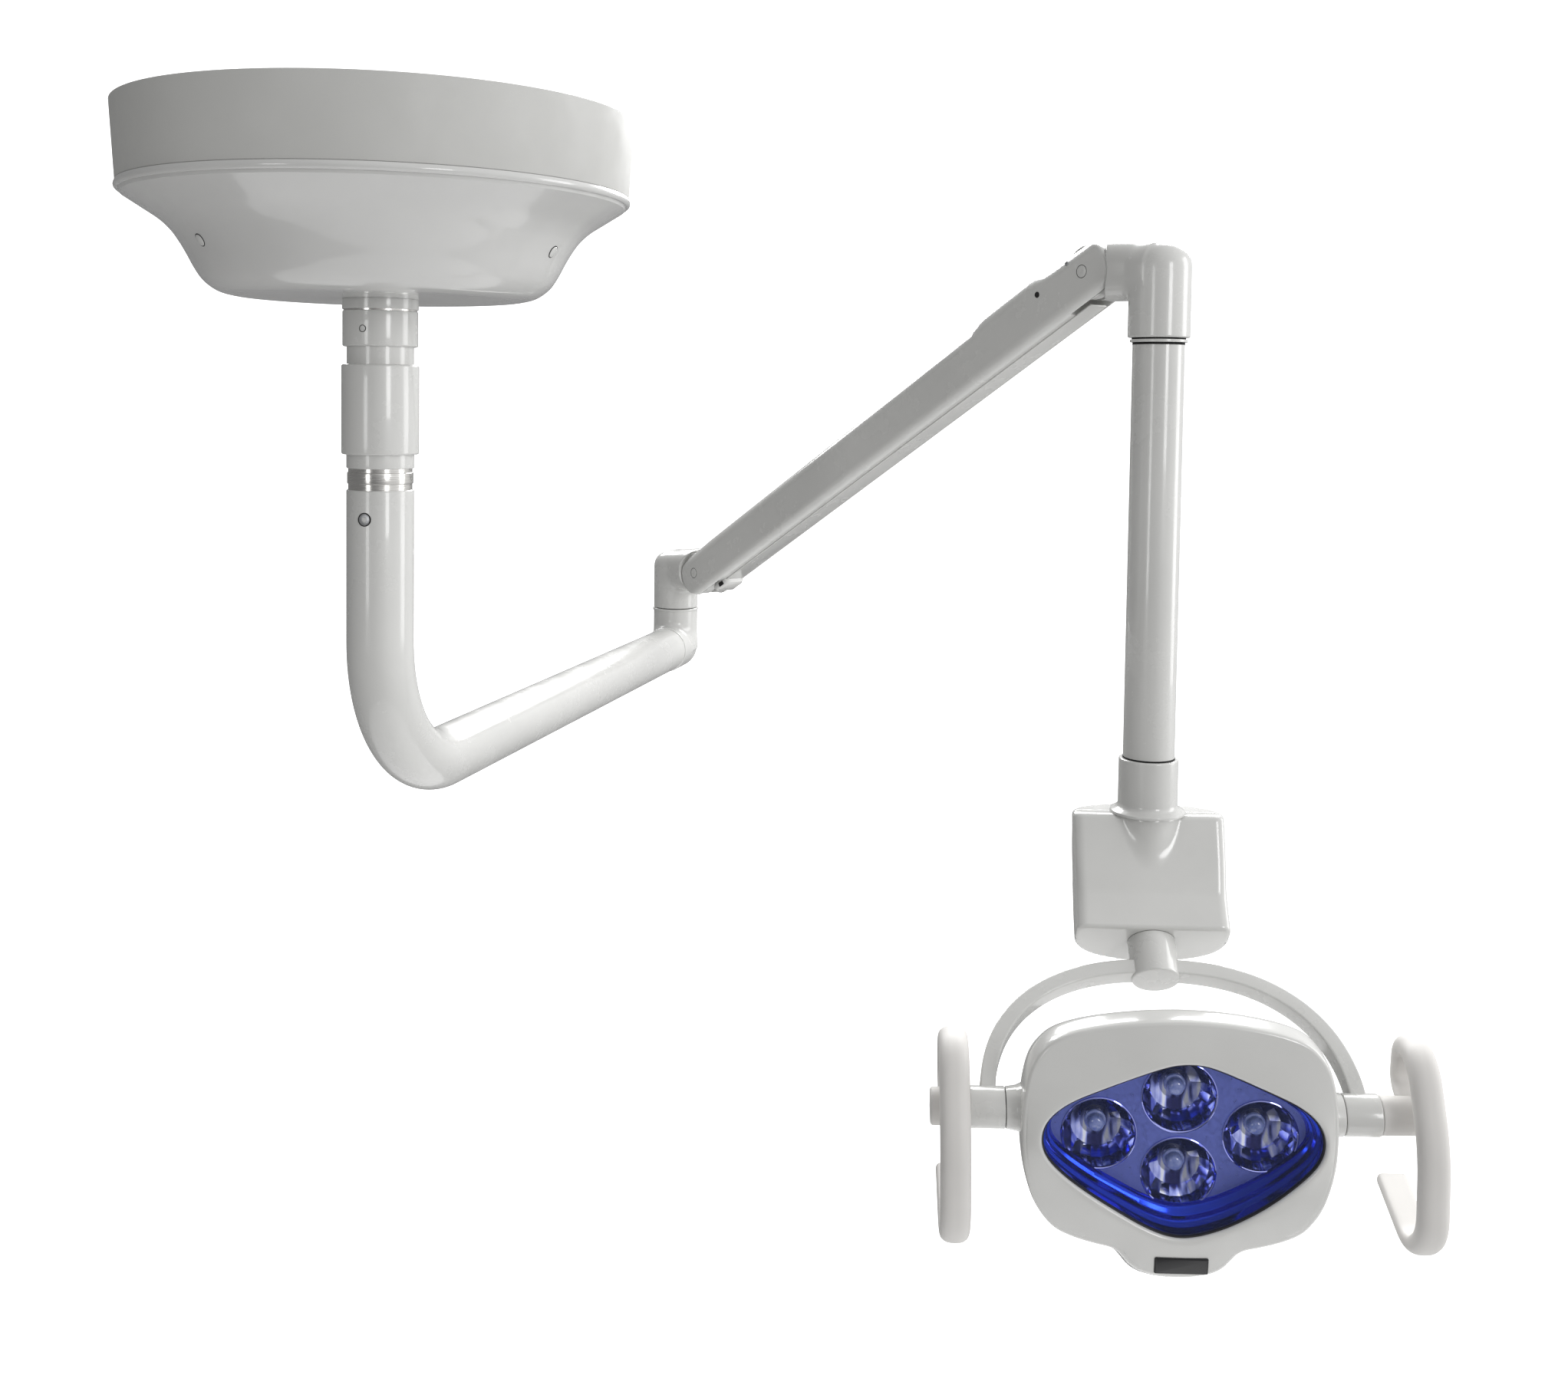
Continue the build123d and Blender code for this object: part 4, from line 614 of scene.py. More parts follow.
NECK_RADIUS = 23.9
collar = rounded([(24.0, -165.4), (26.9, -165.4, 1.4), (26.9, -139.6, 0.9), (25.4, -139.6), (25.4, -138.4),
                  (27.2, -138.4, 0.5), (27.2, -131.1), (24.0, -131.1)])
add_piece("collar_skin", *lathe(collar), CEILING, WHITE, "canopy_collar")
collar_line = lathe([(24.0, -139.75), (26.2, -139.75), (26.2, -138.2), (24.0, -138.2)])
add_piece("collar_line", *collar_line, CEILING, ("dark_steel", STAINLESS))
sleeve = rounded([(24.0, -178.2), (27.7, -178.2, 1.6), (27.7, -243.5, 1.6), (24.15, -243.5),
                  (24.15, -253.6, 0.8), (18, -253.6), (18, -178.2)])
add_piece("neck_sleeve_skin", *lathe(sleeve), CEILING, WHITE, "neck_sleeve")
neck = lathe([(NECK_RADIUS, -128), (NECK_RADIUS, -180)], closed=False)
add_piece("neck_pipe", *neck, CEILING, WHITE)
RING_TOP = -256.4
ring = rounded([(18, -264.8), (23.6, -264.8, 0.7), (23.6, RING_TOP, 0.7), (18, RING_TOP)])
add_piece("thrust_ring", *lathe(ring), CEILING, ("stainless", STAINLESS), "thrust_bearing")
recess = lathe([(22.9, -253.4), (22.9, -269.6)], closed=False)
add_piece("bearing_recess", *recess, CEILING, ("stainless", STAINLESS))

HEADING = Vector((ELBOW_POINT.x, ELBOW_POINT.y, 0)).normalized()
# Painted shade: a near-black well round the collar's set screw.
screw_well = lathe([(0.01, -0.6), (2.6, -0.6), (2.6, 0.35), (2.2, 0.35)], closed=False, segments=32)
add_piece("collar_screw_well", *turned(screw_well, UP, -HEADING, -HEADING * 26.8 - UP * 153), CEILING,
          ("dark_steel", PAINTED_SHADE))


def hex_screw(radius, head, socket, dish=0.4):
    """Round screw head with a hexagon socket, seated at local z = 0."""
    outer = [(radius, -1.0), (radius, head - dish), (radius - 0.3 * dish, head - 0.3 * dish),
             (radius - dish, head)]
    rings = [np.stack([r * np.cos(a), r * np.sin(a), np.full(36, z)], axis=1)
             for (r, z) in outer for a in [2 * pi * np.arange(36) / 36]]
    angles = 2 * pi * np.arange(36) / 36
    folded = (angles % (pi / 3)) - pi / 6
    flat = socket * cos(pi / 6) / np.cos(folded)
    for depth in (head, head - socket):
        rings.append(np.stack([flat * np.cos(angles), flat * np.sin(angles), np.full(36, depth)], axis=1))
    return skin(rings, last_cap=True)


# ------------------------------------------------------------------ S-arm
PIPE_RADIUS = 24.15
S_TOP = -269.2
S_AXIS = -488.6
S_REACH = ELBOW_POINT.xy.length
ELBOW_STUB = 40.0
S_BEND = 132.0
BRAKE_Z = -289.8
pipe_path = bent_line([(0, S_TOP), (0, S_AXIS), (S_REACH - ELBOW_STUB, S_AXIS)], [S_BEND], 40)
pipe_path = fine_path(pipe_path, 60)
add_piece("s_arm_pipe", *flat_sweep(pipe_path, circle_section(PIPE_RADIUS, 96), start_round=1.0), S_ARM,
          WHITE, "s_arm_tube")
# Painted shade: a near-black well round the brake screw, and another inside its hex socket.
well = lathe([(4.3, -1.5), (4.3, 0.15), (5.0, 0.15), (5.0, -1.5)], segments=40)
brake_seat = (-PIPE_RADIUS + 0.05, 0, BRAKE_Z)
add_piece("brake_well", *turned(well, (0, 0, 1), (-1, 0, 0), brake_seat), S_ARM, ("dark_steel", PAINTED_SHADE),
          "brake_screw")
add_piece("brake_screw_head", *turned(hex_screw(4.3, 0.3, 2.0), (0, 0, 1), (-1, 0, 0), brake_seat), S_ARM,
          ("zinc_steel", ZINC), "brake_screw")
add_piece("brake_socket", *turned(hex_screw(1.9, -0.9, 0.2, 0.01), (0, 0, 1), (-1, 0, 0), brake_seat), S_ARM,
          ("dark_steel", PAINTED_SHADE), "brake_screw")

ELBOW_RADIUS = 25.1
ELBOW_RING = -444.0


def elbow_field(x, y, z):
    upright = np.maximum(np.hypot(x - S_REACH, y) - ELBOW_RADIUS, S_AXIS - z)
    level = np.maximum(np.hypot(y, z - S_AXIS) - ELBOW_RADIUS, x - S_REACH)
    corner = np.sqrt((x - S_REACH) ** 2 + y ** 2 + (z - S_AXIS) ** 2) - ELBOW_RADIUS
    pipes = np.minimum(smooth_min(upright, level, 7), corner)
    start = smooth_max(pipes, S_REACH - ELBOW_STUB + 0.2 - x, 1.6)
    return smooth_max(start, z - ELBOW_RING + 1.8, 0.8)


elbow_low = (S_REACH - ELBOW_STUB - 2, -28, S_AXIS - 28)
elbow_high = (S_REACH + 28, 28, ELBOW_RING + 2)
add_solid("elbow_body", elbow_field, elbow_low, elbow_high, 1.5, S_ARM, WHITE, "elbow_casting")
lip = rounded([(18, ELBOW_RING - 2.6), (26.1, ELBOW_RING - 2.6, 0.7), (26.1, ELBOW_RING, 0.7), (18,
              ELBOW_RING)])
add_piece("elbow_lip", *turned(lathe(lip), (1, 0, 0), (0, 0, 1), (S_REACH, 0, 0)), S_ARM, WHITE,
          "elbow_casting")
# Painted shade: a near-black line at the seam where the pipe meets the elbow.
seam = lathe([(PIPE_RADIUS - 0.25, -0.5), (PIPE_RADIUS - 0.25, 0.7)], closed=False)
add_piece("elbow_seam", *turned(seam, (0, 1, 0), (1, 0, 0), (S_REACH - ELBOW_STUB, 0, S_AXIS)), S_ARM, SHADOW)

# ------------------------------------------------------------------ knuckles
REACH = (DROP_POINT.xy - UPPER_PIVOT.xy).length
LUG_HALF = 14.3
LUG_RADIUS = 23.4
LIMB_TOP = 25.2
SLOT_HALF = 3.5


def knuckle_field(x, y, z, side, radius, low, high, dome, limb_half_y, limb_round, clear):
    """Upright body with a domed top, a limb towards side * X and the forked lug at its end."""
    along = x * side
    crown = LIMB_TOP - (LIMB_TOP - high) * np.clip(1 - along / REACH, 0, 1) ** 2
    limb_half_z = np.where(z > 0, crown, 25.0)
    around = np.hypot(x, y) / radius
    above = np.maximum(z - high + dome, 0) / dome
    body = radius * ((around ** 2.6 + above ** 2.2) ** (1 / 2.4) - 1)
    body = smooth_max(body, low - z, 1.6)
    limb = np.maximum(rounded_box_2d(y, z, limb_half_y, limb_half_z, limb_round), -along)
    cheek = clear - np.hypot(along - REACH, z)
    limb = smooth_max(limb, along - REACH + 12, 2)
    limb = smooth_max(limb, cheek, 1.5)
    lug = smooth_max(np.hypot(along - REACH, z) - LUG_RADIUS, np.abs(y) - LUG_HALF, 1.2)
    neck = np.maximum(np.maximum(np.abs(z) - 20, np.abs(y) - LUG_HALF),
                      np.maximum(along - REACH, REACH - 30 - along))
    lug = smooth_min(lug, neck, 1)
    slot = np.maximum(np.abs(y) - SLOT_HALF, REACH - LUG_RADIUS + 4 - along)
    lug = smooth_max(lug, -slot, 0.8)
    return smooth_min(smooth_min(body, limb, 6), lug, 1.0)


LOWER_LOW = ELBOW_RING + 0.5 - LOWER_PIVOT.z


def lower_field(x, y, z):
    return knuckle_field(x, y, z, 1, 25.1, LOWER_LOW, 19.0, 18, 23.5, 19, 25.6)


add_solid("lower_knuckle_body", lower_field, (-28, -28, LOWER_LOW - 2), (REACH + 26, 28, 28), 1.5, ELBOW,
          WHITE, "lower_knuckle")
# Painted shade: a near-black ring where the knuckle turns on the elbow.
journal_shadow = lathe([(22, ELBOW_RING - 1), (22, ELBOW_RING + 1.5)], closed=False)
add_piece("elbow_shadow", *turned(journal_shadow, (1, 0, 0), (0, 0, 1), (0, 0, -LOWER_PIVOT.z)), ELBOW,
          SHADOW)

UPPER_LOW = -145.3 - UPPER_PIVOT.z


def upper_field(x, y, z):
    return knuckle_field(x, y, z, -1, 25.4, UPPER_LOW, 20.6, 20, 24.5, 20, 28.8)


add_solid("upper_knuckle_body", upper_field, (-REACH - 26, -29, UPPER_LOW - 2), (29, 29, 30), 1.5, UPPER,
          WHITE, "upper_knuckle")
# Painted shade: a near-black ring where the drop tube turns in the knuckle.
drop_shadow = lathe([(22, UPPER_LOW - 1.3), (22, UPPER_LOW + 1.5)], closed=False)
add_piece("drop_shadow", *drop_shadow, UPPER, SHADOW)

# ------------------------------------------------------------------ spring arm
ARM_LENGTH = (UPPER_PIVOT - LOWER_PIVOT).length
ARM_HALF_WIDTH = 22.0
ARM_HALF_HEIGHT = 24.8
FORK_DEPTH = 31.0
# Rise of the shell's top along its length: the saddle near the upper end, then the slope to the cheeks
ARM_TOP = flowing([(-30, -1.5), (20, -0.6), (60, 0), (300, 0), (484, 0), (493, 0.4), (503, 2.9), (511, 5.2),
                  (518, 6), (545, 6), (573, 5.7), (582, 4.6), (592, 1.6), (602, 0), (625, -1.6), (665, -3.8)],
                  6)


def shell_field(x, y, z):
    rise = np.interp(x, ARM_TOP[:, 0], ARM_TOP[:, 1])
    z = np.where(z > 0, z * ARM_HALF_HEIGHT / (ARM_HALF_HEIGHT + rise), z)
    corner = np.where(z > 0, 14.0, 10.0)
    bar = rounded_box_2d(y, z, ARM_HALF_WIDTH, ARM_HALF_HEIGHT, corner)
    profile = np.hypot(x - np.clip(x, 0, ARM_LENGTH + 3.2), z) - ARM_HALF_HEIGHT
    shell = smooth_max(bar, profile, 3.0)
    for fork_end in (x - FORK_DEPTH, ARM_LENGTH - FORK_DEPTH - x):
        shell = smooth_max(shell, -np.maximum(np.abs(y) - 15, fork_end), 0.9)
    return shell


shell_low = (-ARM_HALF_HEIGHT - 2, -ARM_HALF_WIDTH - 2, -ARM_HALF_HEIGHT - 2)
shell_high = (ARM_LENGTH + ARM_HALF_HEIGHT + 6, ARM_HALF_WIDTH + 2, ARM_HALF_HEIGHT + 9)
add_solid("arm_shell_skin", shell_field, shell_low, shell_high, 1.6, SPRING_ARM, WHITE, ["arm_shell",
          "arm_hump_cover"])


def slab(low, high, radius, steps=4):
    """Box with rounded long edges along X, from corner to corner."""
    low, high = np.array(low, float), np.array(high, float)
    centre, half = (low + high) / 2, (high - low) / 2
    section = box_section(half[1], half[2], radius, steps)
    rings = []
    for x, shrink in ((-half[0], radius), (-half[0] + radius * 0.3, radius * 0.3), (-half[0] + radius, 0),
                      (half[0] - radius, 0), (half[0] - radius * 0.3, radius * 0.3), (half[0], radius)):
        scale = (half[1:] - shrink) / half[1:]
        rings.append(np.column_stack([np.full(len(section), x), section * scale]) + centre)
    return skin(rings, first_cap=True, last_cap=True)


add_piece("arm_bottom_strip", *slab((FORK_DEPTH + 0.4, -10.5, -25.5), (ARM_LENGTH - 12.5, 10.5, -23.7), 0.8),
          SPRING_ARM, WHITE, "arm_bottom_cover")
# Rounded stop under the lower end, with its latch slot
add_piece("arm_lower_stop", *slab((14, -13.5, -30.6), (40, 13.5, -20), 5.0, 8), SPRING_ARM, WHITE)
# Painted shade: the latch slot is a near-black slab.
add_piece("arm_latch_slot", *slab((27, -13.9, -29.0), (35, -12.5, -24.6), 0.3), SPRING_ARM, SHADOW)

for number, at_x in enumerate((0.0, ARM_LENGTH)):
    for side in (-1, 1):
        tag = f"{number}_{'near' if side < 0 else 'far'}"
        seat = (at_x, side * (ARM_HALF_WIDTH - 0.15), 0)
        add_piece(f"pivot_screw_{tag}", *turned(hex_screw(5.2, 0.35, 1.7), (1, 0, 0), (0, side, 0), seat),
                  SPRING_ARM, WHITE, "pivot_screws")
        # Painted shade: a near-black ring round each pivot screw.
        gap = lathe([(5.2, -1.5), (5.2, 0.2), (5.7, 0.2), (5.7, -1.5)], segments=40)
        add_piece(f"pivot_screw_gap_{tag}", *turned(gap, (1, 0, 0), (0, side, 0), seat), SPRING_ARM, SHADOW,
                  "pivot_screws")
# Painted shade: a near-black cup in the adjuster hole.
hole = lathe([(0.01, 0.12), (2.7, 0.12), (2.7, -2)], closed=False, segments=32)
add_piece("adjuster_hole", *turned(hole, (1, 0, 0), (0, -1, 0), (586, -ARM_HALF_WIDTH, 8.6)), SPRING_ARM,
          SHADOW)
add_piece("end_screw", *turned(hex_screw(2.0, 0.3, 0.9, 0.2), (1, 0, 0), (0, -1, 0), (627,
          -ARM_HALF_WIDTH + 0.4, 14.8)), SPRING_ARM, ("zinc_steel", ZINC))

# ------------------------------------------------------------------ drop arm
DROP_RADIUS = 21.2
BOX_TOP = -541.0
drop_profile = rounded([(18, -560), (DROP_RADIUS, -560), (DROP_RADIUS, -149.0), (23.5, -149.0, 0.5),
                        (23.5, -146.6, 0.5), (18, -146.6)])
add_piece("drop_pipe", *lathe(drop_profile), DROP, WHITE, "drop_tube")
# Painted shade: a near-black line just under the ring at the drop tube's top.
line = lathe([(DROP_RADIUS + 0.15, -151.0), (DROP_RADIUS + 0.15, -148.9)], closed=False)
add_piece("drop_pipe_line", *line, DROP, SHADOW)
collar = rounded([(21.3, BOX_TOP), (31, BOX_TOP), (31, BOX_TOP + 2.0, 1.0), (24.5, BOX_TOP + 5.6, 5),
                  (24.5, -495.3, 1.3), (21.3, -495.3)], 7)
add_piece("drop_collar_skin", *lathe(collar), DROP, WHITE, "drop_collar")
# Painted shade: a near-black line where the collar meets the drop tube.
line = lathe([(DROP_RADIUS + 0.1, -496), (DROP_RADIUS + 0.5, -494.7), (DROP_RADIUS, -494.0)], closed=False)
add_piece("drop_collar_line", *line, DROP, SHADOW)

LEAN = UP.angle(YOKE_UP)
SPINDLE_TOP = 184.5
EXIT_FRONT = sin(LEAN) * 43.2
EXIT_Z = TILT_POINT.z + SPINDLE_TOP * cos(LEAN) - 43.2 * cos(LEAN)
BOX_HALF_WIDTH = 62.5


def driver_field(x, y, z):
    front = -y
    face_top = 0.942 * (front - 12) + 0.335 * (z - BOX_TOP)
    face_low = 0.878 * (front - 33) + 0.478 * (z + 600)
    face = smooth_min(face_top, face_low, 0.5)
    spine = np.interp(z, [-662, -641, -603, -541], [34, 31.6, 7, 0])
    depth = np.interp(z, [-662, -641, -603, -541], [27, 32, 28.6, 29])
    behind = np.maximum(spine - front, 0)
    waist = BOX_HALF_WIDTH - 0.8 * np.exp(-((z + 600) / 18) ** 2)
    wall = (np.hypot(x / waist, behind / depth) - 1) * np.where(behind > 0, 31, waist)
    wall = np.where(behind > 0, wall, np.abs(x) - waist)
    body = smooth_max(wall, face, 9)
    boss_radius = 24.5 - np.clip((BOX_TOP - z) / 46, 0, 1) * 2.0
    boss = np.maximum(np.hypot(x, front) - boss_radius, -600 - z)
    body = smooth_min(body, boss, 5)
    body = smooth_max(body, z - BOX_TOP, 3.5)
    under = sin(LEAN) * (front - EXIT_FRONT) - cos(LEAN) * (z - EXIT_Z)
    return smooth_max(body, under, 3.0)


box_low = (-66, -62, -668)
box_high = (66, 34, BOX_TOP + 3)
for half, sign in (("front", 1), ("rear", -1)):
    add_solid(f"driver_box_{half}_skin", lambda x, y, z: smooth_max(driver_field(x, y, z), sign * y + 0.12,
              0.5), box_low, box_high, 1.7, DROP, PLASTIC, f"driver_box_{half}")

# ------------------------------------------------------------------ yoke
HUB_RADIUS = 19.3
HUB_FACE = 107.0
HUB_TOP = 141.0
hub = rounded([(0.01, HUB_FACE), (HUB_RADIUS, HUB_FACE, 1.6), (HUB_RADIUS, HUB_TOP, 0.4), (15, HUB_TOP),
               (15, HUB_TOP + 1.2), (0.01, HUB_TOP + 1.2)])
add_piece("hub_skin", *lathe(hub, closed=False), YOKE, WHITE, "yoke_hub")
# Painted shade: a near-black line at the top of the hub.
hub_line = lathe([(HUB_RADIUS - 0.4, HUB_TOP - 0.3), (HUB_RADIUS - 0.4, HUB_TOP + 0.6)], closed=False)
add_piece("hub_line", *hub_line, YOKE, SHADOW)


def arch(half_width, height, power, count=121):
    angles = np.linspace(pi, 0, count)
    across = np.sign(np.cos(angles)) * np.abs(np.cos(angles)) ** (2 / power) * half_width
    return np.stack([across, np.abs(np.sin(angles)) ** (2 / power) * height], axis=1)


def even(path, count):
    """The same curve with evenly spaced points."""
    lengths = np.concatenate([[0], np.cumsum(np.linalg.norm(np.diff(path, axis=0), axis=1))])
    places = np.linspace(0, lengths[-1], count)
    return np.stack([np.interp(places, lengths, path[:, axis]) for axis in range(path.shape[1])], axis=1)


YOKE_HALF_SPAN = 140.0
YOKE_RISE = 115.3
YOKE_POWER = 2.34  # 2 would be an ellipse; more gives squarer shoulders
YOKE_HALF_THICKNESS = 6.0
YOKE_HALF_WIDTH = 9.0
yoke_line = even(arch(YOKE_HALF_SPAN, YOKE_RISE, YOKE_POWER, 721), 150)
yoke_bar = flat_sweep(yoke_line, box_section(YOKE_HALF_THICKNESS, YOKE_HALF_WIDTH, 1.6))
boss = lathe(rounded([(9.2, 127), (15.4, 127, 1.0), (15.4, 154, 1.0), (9.2, 154)]))
bosses = [turned(boss, (0, 0, 1), (side, 0, 0)) for side in (-1, 1)]
add_piece("yoke_bow", *joined(yoke_bar, *bosses), YOKE, WHITE, "yoke")

# ------------------------------------------------------------------ lamp head
HEAD_HALF = [(0, 84), (28, 82.8), (55, 79.5), (78, 74.5), (95, 67.5), (106, 57), (112.5, 45), (116.5, 28),
             (118.5, 8), (118.8, -12), (117.5, -32), (114, -50), (108.5, -67), (101, -80), (92, -89.5), (78,
             -96.5), (62, -101.5), (52, -104), (45.5, -107.5), (40.5, -113), (35, -119.5), (27, -124.6), (14,
             -128), (0, -129)]
CENTRE = np.array((0.0, -9.5))
SPOKES = 288


def polar(points):
    """A closed outline resampled on even spokes about the window's centre."""
    offset = np.asarray(points) - CENTRE
    angles = np.unwrap(np.arctan2(offset[:, 1], offset[:, 0]))
    radii = np.hypot(offset[:, 0], offset[:, 1])
    order = np.argsort(angles % (2 * pi))
    wanted = 2 * pi * np.arange(SPOKES) / SPOKES
    radius = np.interp(wanted, (angles % (2 * pi))[order], radii[order], period=2 * pi)
    return CENTRE + radius[:, None] * np.stack([np.cos(wanted), np.sin(wanted)], axis=1)


head_right = np.array(HEAD_HALF, float)
head_left = head_right[-2:0:-1] * np.array([-1, 1])
HEAD_EDGE = polar(flowing(np.vstack([head_right, head_left]), 24, closed=True))


# One side of the window, from its upper to its lower point, as shares of its half sizes
WINDOW_SIDE = [(0, 1), (0.11, 0.982), (0.22, 0.925), (0.34, 0.845), (0.48, 0.745), (0.62, 0.64), (0.76, 0.53),
               (0.87, 0.41), (0.95, 0.27), (0.99, 0.13), (1, 0.0), (0.988, -0.11), (0.945, -0.22),
               (0.86, -0.345), (0.74, -0.48), (0.6, -0.615), (0.45, -0.745), (0.31, -0.86), (0.19, -0.94),
               (0.09, -0.985), (0, -1)]
WINDOW_HALF_WIDTH = 104.6
WINDOW_RISE = 61.0
WINDOW_FALL = 75.0
WINDOW_MIDDLE = np.array((2.8, -9.8))


def window_curve():
    """Rounded lozenge of the window: nearly straight sides, round points and blunt ends."""
    side = np.array([(across * WINDOW_HALF_WIDTH, up * (WINDOW_RISE if up > 0 else WINDOW_FALL))
                     for across, up in WINDOW_SIDE])
    other = side[-2:0:-1] * np.array([-1, 1])
    curve = flowing(np.vstack([side, other]), 24, closed=True)
    turn = np.arctan2(curve[:, 1], curve[:, 0])
    fuller = np.where((turn < 0) & (turn > -pi / 2), 0.045 * np.sin(2 * turn) ** 2, 0)
    curve *= 1 + fuller[:, None]
    curve[:, 0] += 4.5 * np.clip(curve[:, 1] / WINDOW_RISE, 0, 1) ** 2
    return curve + WINDOW_MIDDLE


def softened(outline, passes=30):
    """The outline with its tight corners eased."""
    for _ in range(passes):
        outline = (np.roll(outline, 1, axis=0) + np.roll(outline, -1, axis=0) + 2 * outline) / 4
    return outline


WINDOW_EDGE = softened(polar(window_curve()), 6)


def leaned(outline, height):
    """The head's outline at a height: its brow and its chin both slope back from the broadest level."""
    brow = np.interp(height, [-38, -20, 8, 24, 32], [0.80, 0.853, 1.0, 0.993, 0.975])
    chin = np.interp(height, [-38, 8, 20, 32], [1.0, 1.0, 0.944, 0.889])
    sides = np.interp(height, [-38, 8, 24, 32], [0.985, 0.985, 0.985, 0.975])
    up = np.where(outline[:, 1] > 0, outline[:, 1] * brow, outline[:, 1] * chin)
    return np.stack([outline[:, 0] * sides + 0.8, up], axis=1)


def outset(outline, distance):
    """Outline moved along its own normals, outwards for a positive distance."""
    ahead = np.roll(outline, -1, axis=0) - np.roll(outline, 1, axis=0)
    normal = np.stack([ahead[:, 1], -ahead[:, 0]], axis=1)
    normal /= np.linalg.norm(normal, axis=1)[:, None]
    return outline + softened(normal, 3) * distance


def level(outline, height):
    return np.column_stack([outline, np.full(len(outline), height)])


def mixed(outer, inner, share):
    return outer * (1 - share) + inner * share


# Front housing, from the rolled edge of the window out to the seam
FRONT = 32.0
bezel_rings = [level(outset(WINDOW_EDGE, 1.5), 24.0), level(outset(WINDOW_EDGE, 0.0), 29.0)]
for turn in np.radians(np.linspace(0, 90, 9)):
    bezel_rings.append(level(outset(WINDOW_EDGE, 2.4 * (1 - cos(turn))), FRONT - 2.4 + 2.4 * sin(turn)))
lip_edge = outset(WINDOW_EDGE, 2.4)
shoulder = outset(leaned(HEAD_EDGE, 26), -2.6)
for share in (0.1, 0.22, 0.38, 0.55, 0.72, 0.86, 0.95):
    bezel_rings.append(level(mixed(lip_edge, shoulder, share), FRONT - 3.4 * share ** 1.5))
for turn in np.radians(np.linspace(0, 80, 8)):
    height = FRONT - 6.0 + 2.6 * cos(turn)
    bezel_rings.append(level(outset(leaned(HEAD_EDGE, height), -2.6 + 2.6 * sin(turn)), height))
for height, inset in ((22.0, 0.05), (17.0, 0.2), (12.0, 0.3), (8.0, 0.2), (4.0, 0.0), (2.8, -0.2), (2.5, -0.8),
                      (2.5, -3.0)):
    bezel_rings.append(level(outset(leaned(HEAD_EDGE, height), inset), height))
add_piece("head_bezel_skin", *skin(bezel_rings), HEAD, PLASTIC, "head_bezel", sharp=50)


def shrunk(outline, share):
    return CENTRE + (outline - CENTRE) * share


rear_stations = [(-3.0, 2.1, 1.0), (-1.1, 2.1, 1.0), (-0.5, 1.6, 1.0), (-0.4, -3.0, 0.999), (-0.6, -9.0,
                 0.99), (-1.4, -15.5, 0.97), (-2.5, -21.0, 0.94), (-3.6, -26.5, 0.89), (-4.5, -31.0, 0.82),
                 (-5.0, -34.2, 0.73), (-5.0, -36.3, 0.62), (-5.0, -37.5, 0.48), (-5.0, -37.9, 0.3), (-5.0,
                 -38.0, 0.14), (-5.0, -38.0, 0.04)]
rear_rings = [level(shrunk(outset(leaned(HEAD_EDGE, height), inset + 0.4), share), height)
              for inset, height, share in rear_stations]
add_piece("head_rear_skin", *skin(rear_rings, last_cap=True), HEAD, PLASTIC, "head_rear_shell", sharp=50)
# Painted shade: a near-black band in the seam between the front housing and the rear shell.
seam_rings = [level(outset(leaned(HEAD_EDGE, 2), -1.2), height) for height in (3.2, 1.4)]
add_piece("head_seam", *skin(seam_rings), HEAD, SHADOW)

for number, (x, y, z) in enumerate(((-84, 44, -25.8), (84, 44, -25.8), (-78, -62, -27.0), (78, -62, -27.0))):
    seat = (x, y, z)
    outward = (x * 0.0030, y * 0.0045, -1)
    # Painted shade: a near-black well round each screw.
    well = lathe(rounded([(3.6, -0.5), (3.6, 4.0), (5.6, 4.0), (5.6, -0.5)]), segments=36)
    add_piece(f"head_screw_well_{number}", *turned(well, (1, 0, 0), outward, seat), HEAD, SHADOW,
              "head_screws")
    head = hex_screw(3.6, 3.4, 1.6)
    add_piece(f"head_screw_{number}", *turned(head, (1, 0, 0), outward, seat), HEAD, ("zinc_steel", ZINC),
              "head_screws")

# Gasket and clear cover in the window
gasket_rings = [level(outset(WINDOW_EDGE, inset), height) for inset, height in ((1.0, 28.6), (0.5, 29.5),
                (-0.3, 29.8), (-1.0, 29.4), (-1.4, 28.4), (-1.4, 27.0), (1.0, 27.0))]
add_piece("window_gasket_bead", *skin(gasket_rings, loop=True), HEAD, ("black_seal", RUBBER),
          "window_gasket")
cover_rings = [level(shrunk(WINDOW_EDGE, share), 28.4 + 1.2 * (1 - share ** 2))
               for share in (0.995, 0.9, 0.75, 0.55, 0.35, 0.15, 0.02)]
add_piece("window_cover_sheet", *skin(cover_rings, last_cap=True), HEAD, ("clear_cover", CLEAR),
          "window_cover")

# Metallised tray: a flat plate with four lamp openings, inside a stepped rim
PLATE = 8.0
LAMP_RADIUS = 28.0
LAMPS = ((3.6, 15.5), (3.6, -45.0), (-56.6, -14.8), (64.6, -14.8))
PLATE_EDGE = outset(WINDOW_EDGE, -9.0)
PLATE_EDGE[:, 1] = np.where(PLATE_EDGE[:, 1] < CENTRE[1],
                            CENTRE[1] + (PLATE_EDGE[:, 1] - CENTRE[1]) * 0.90, PLATE_EDGE[:, 1])
rim_rings = []
for share, height in ((0.0, 27.6), (0.08, 27.2), (0.14, 22.6), (0.20, 20.4), (0.42, 19.4), (0.50, 18.0),
                      (0.56, 14.6), (0.62, 13.6), (0.80, 12.6), (0.90, 11.0), (0.97, PLATE + 0.6),
                      (1.0, PLATE)):
    rim_rings.append(level(mixed(outset(WINDOW_EDGE, 0.4), PLATE_EDGE, share), height))
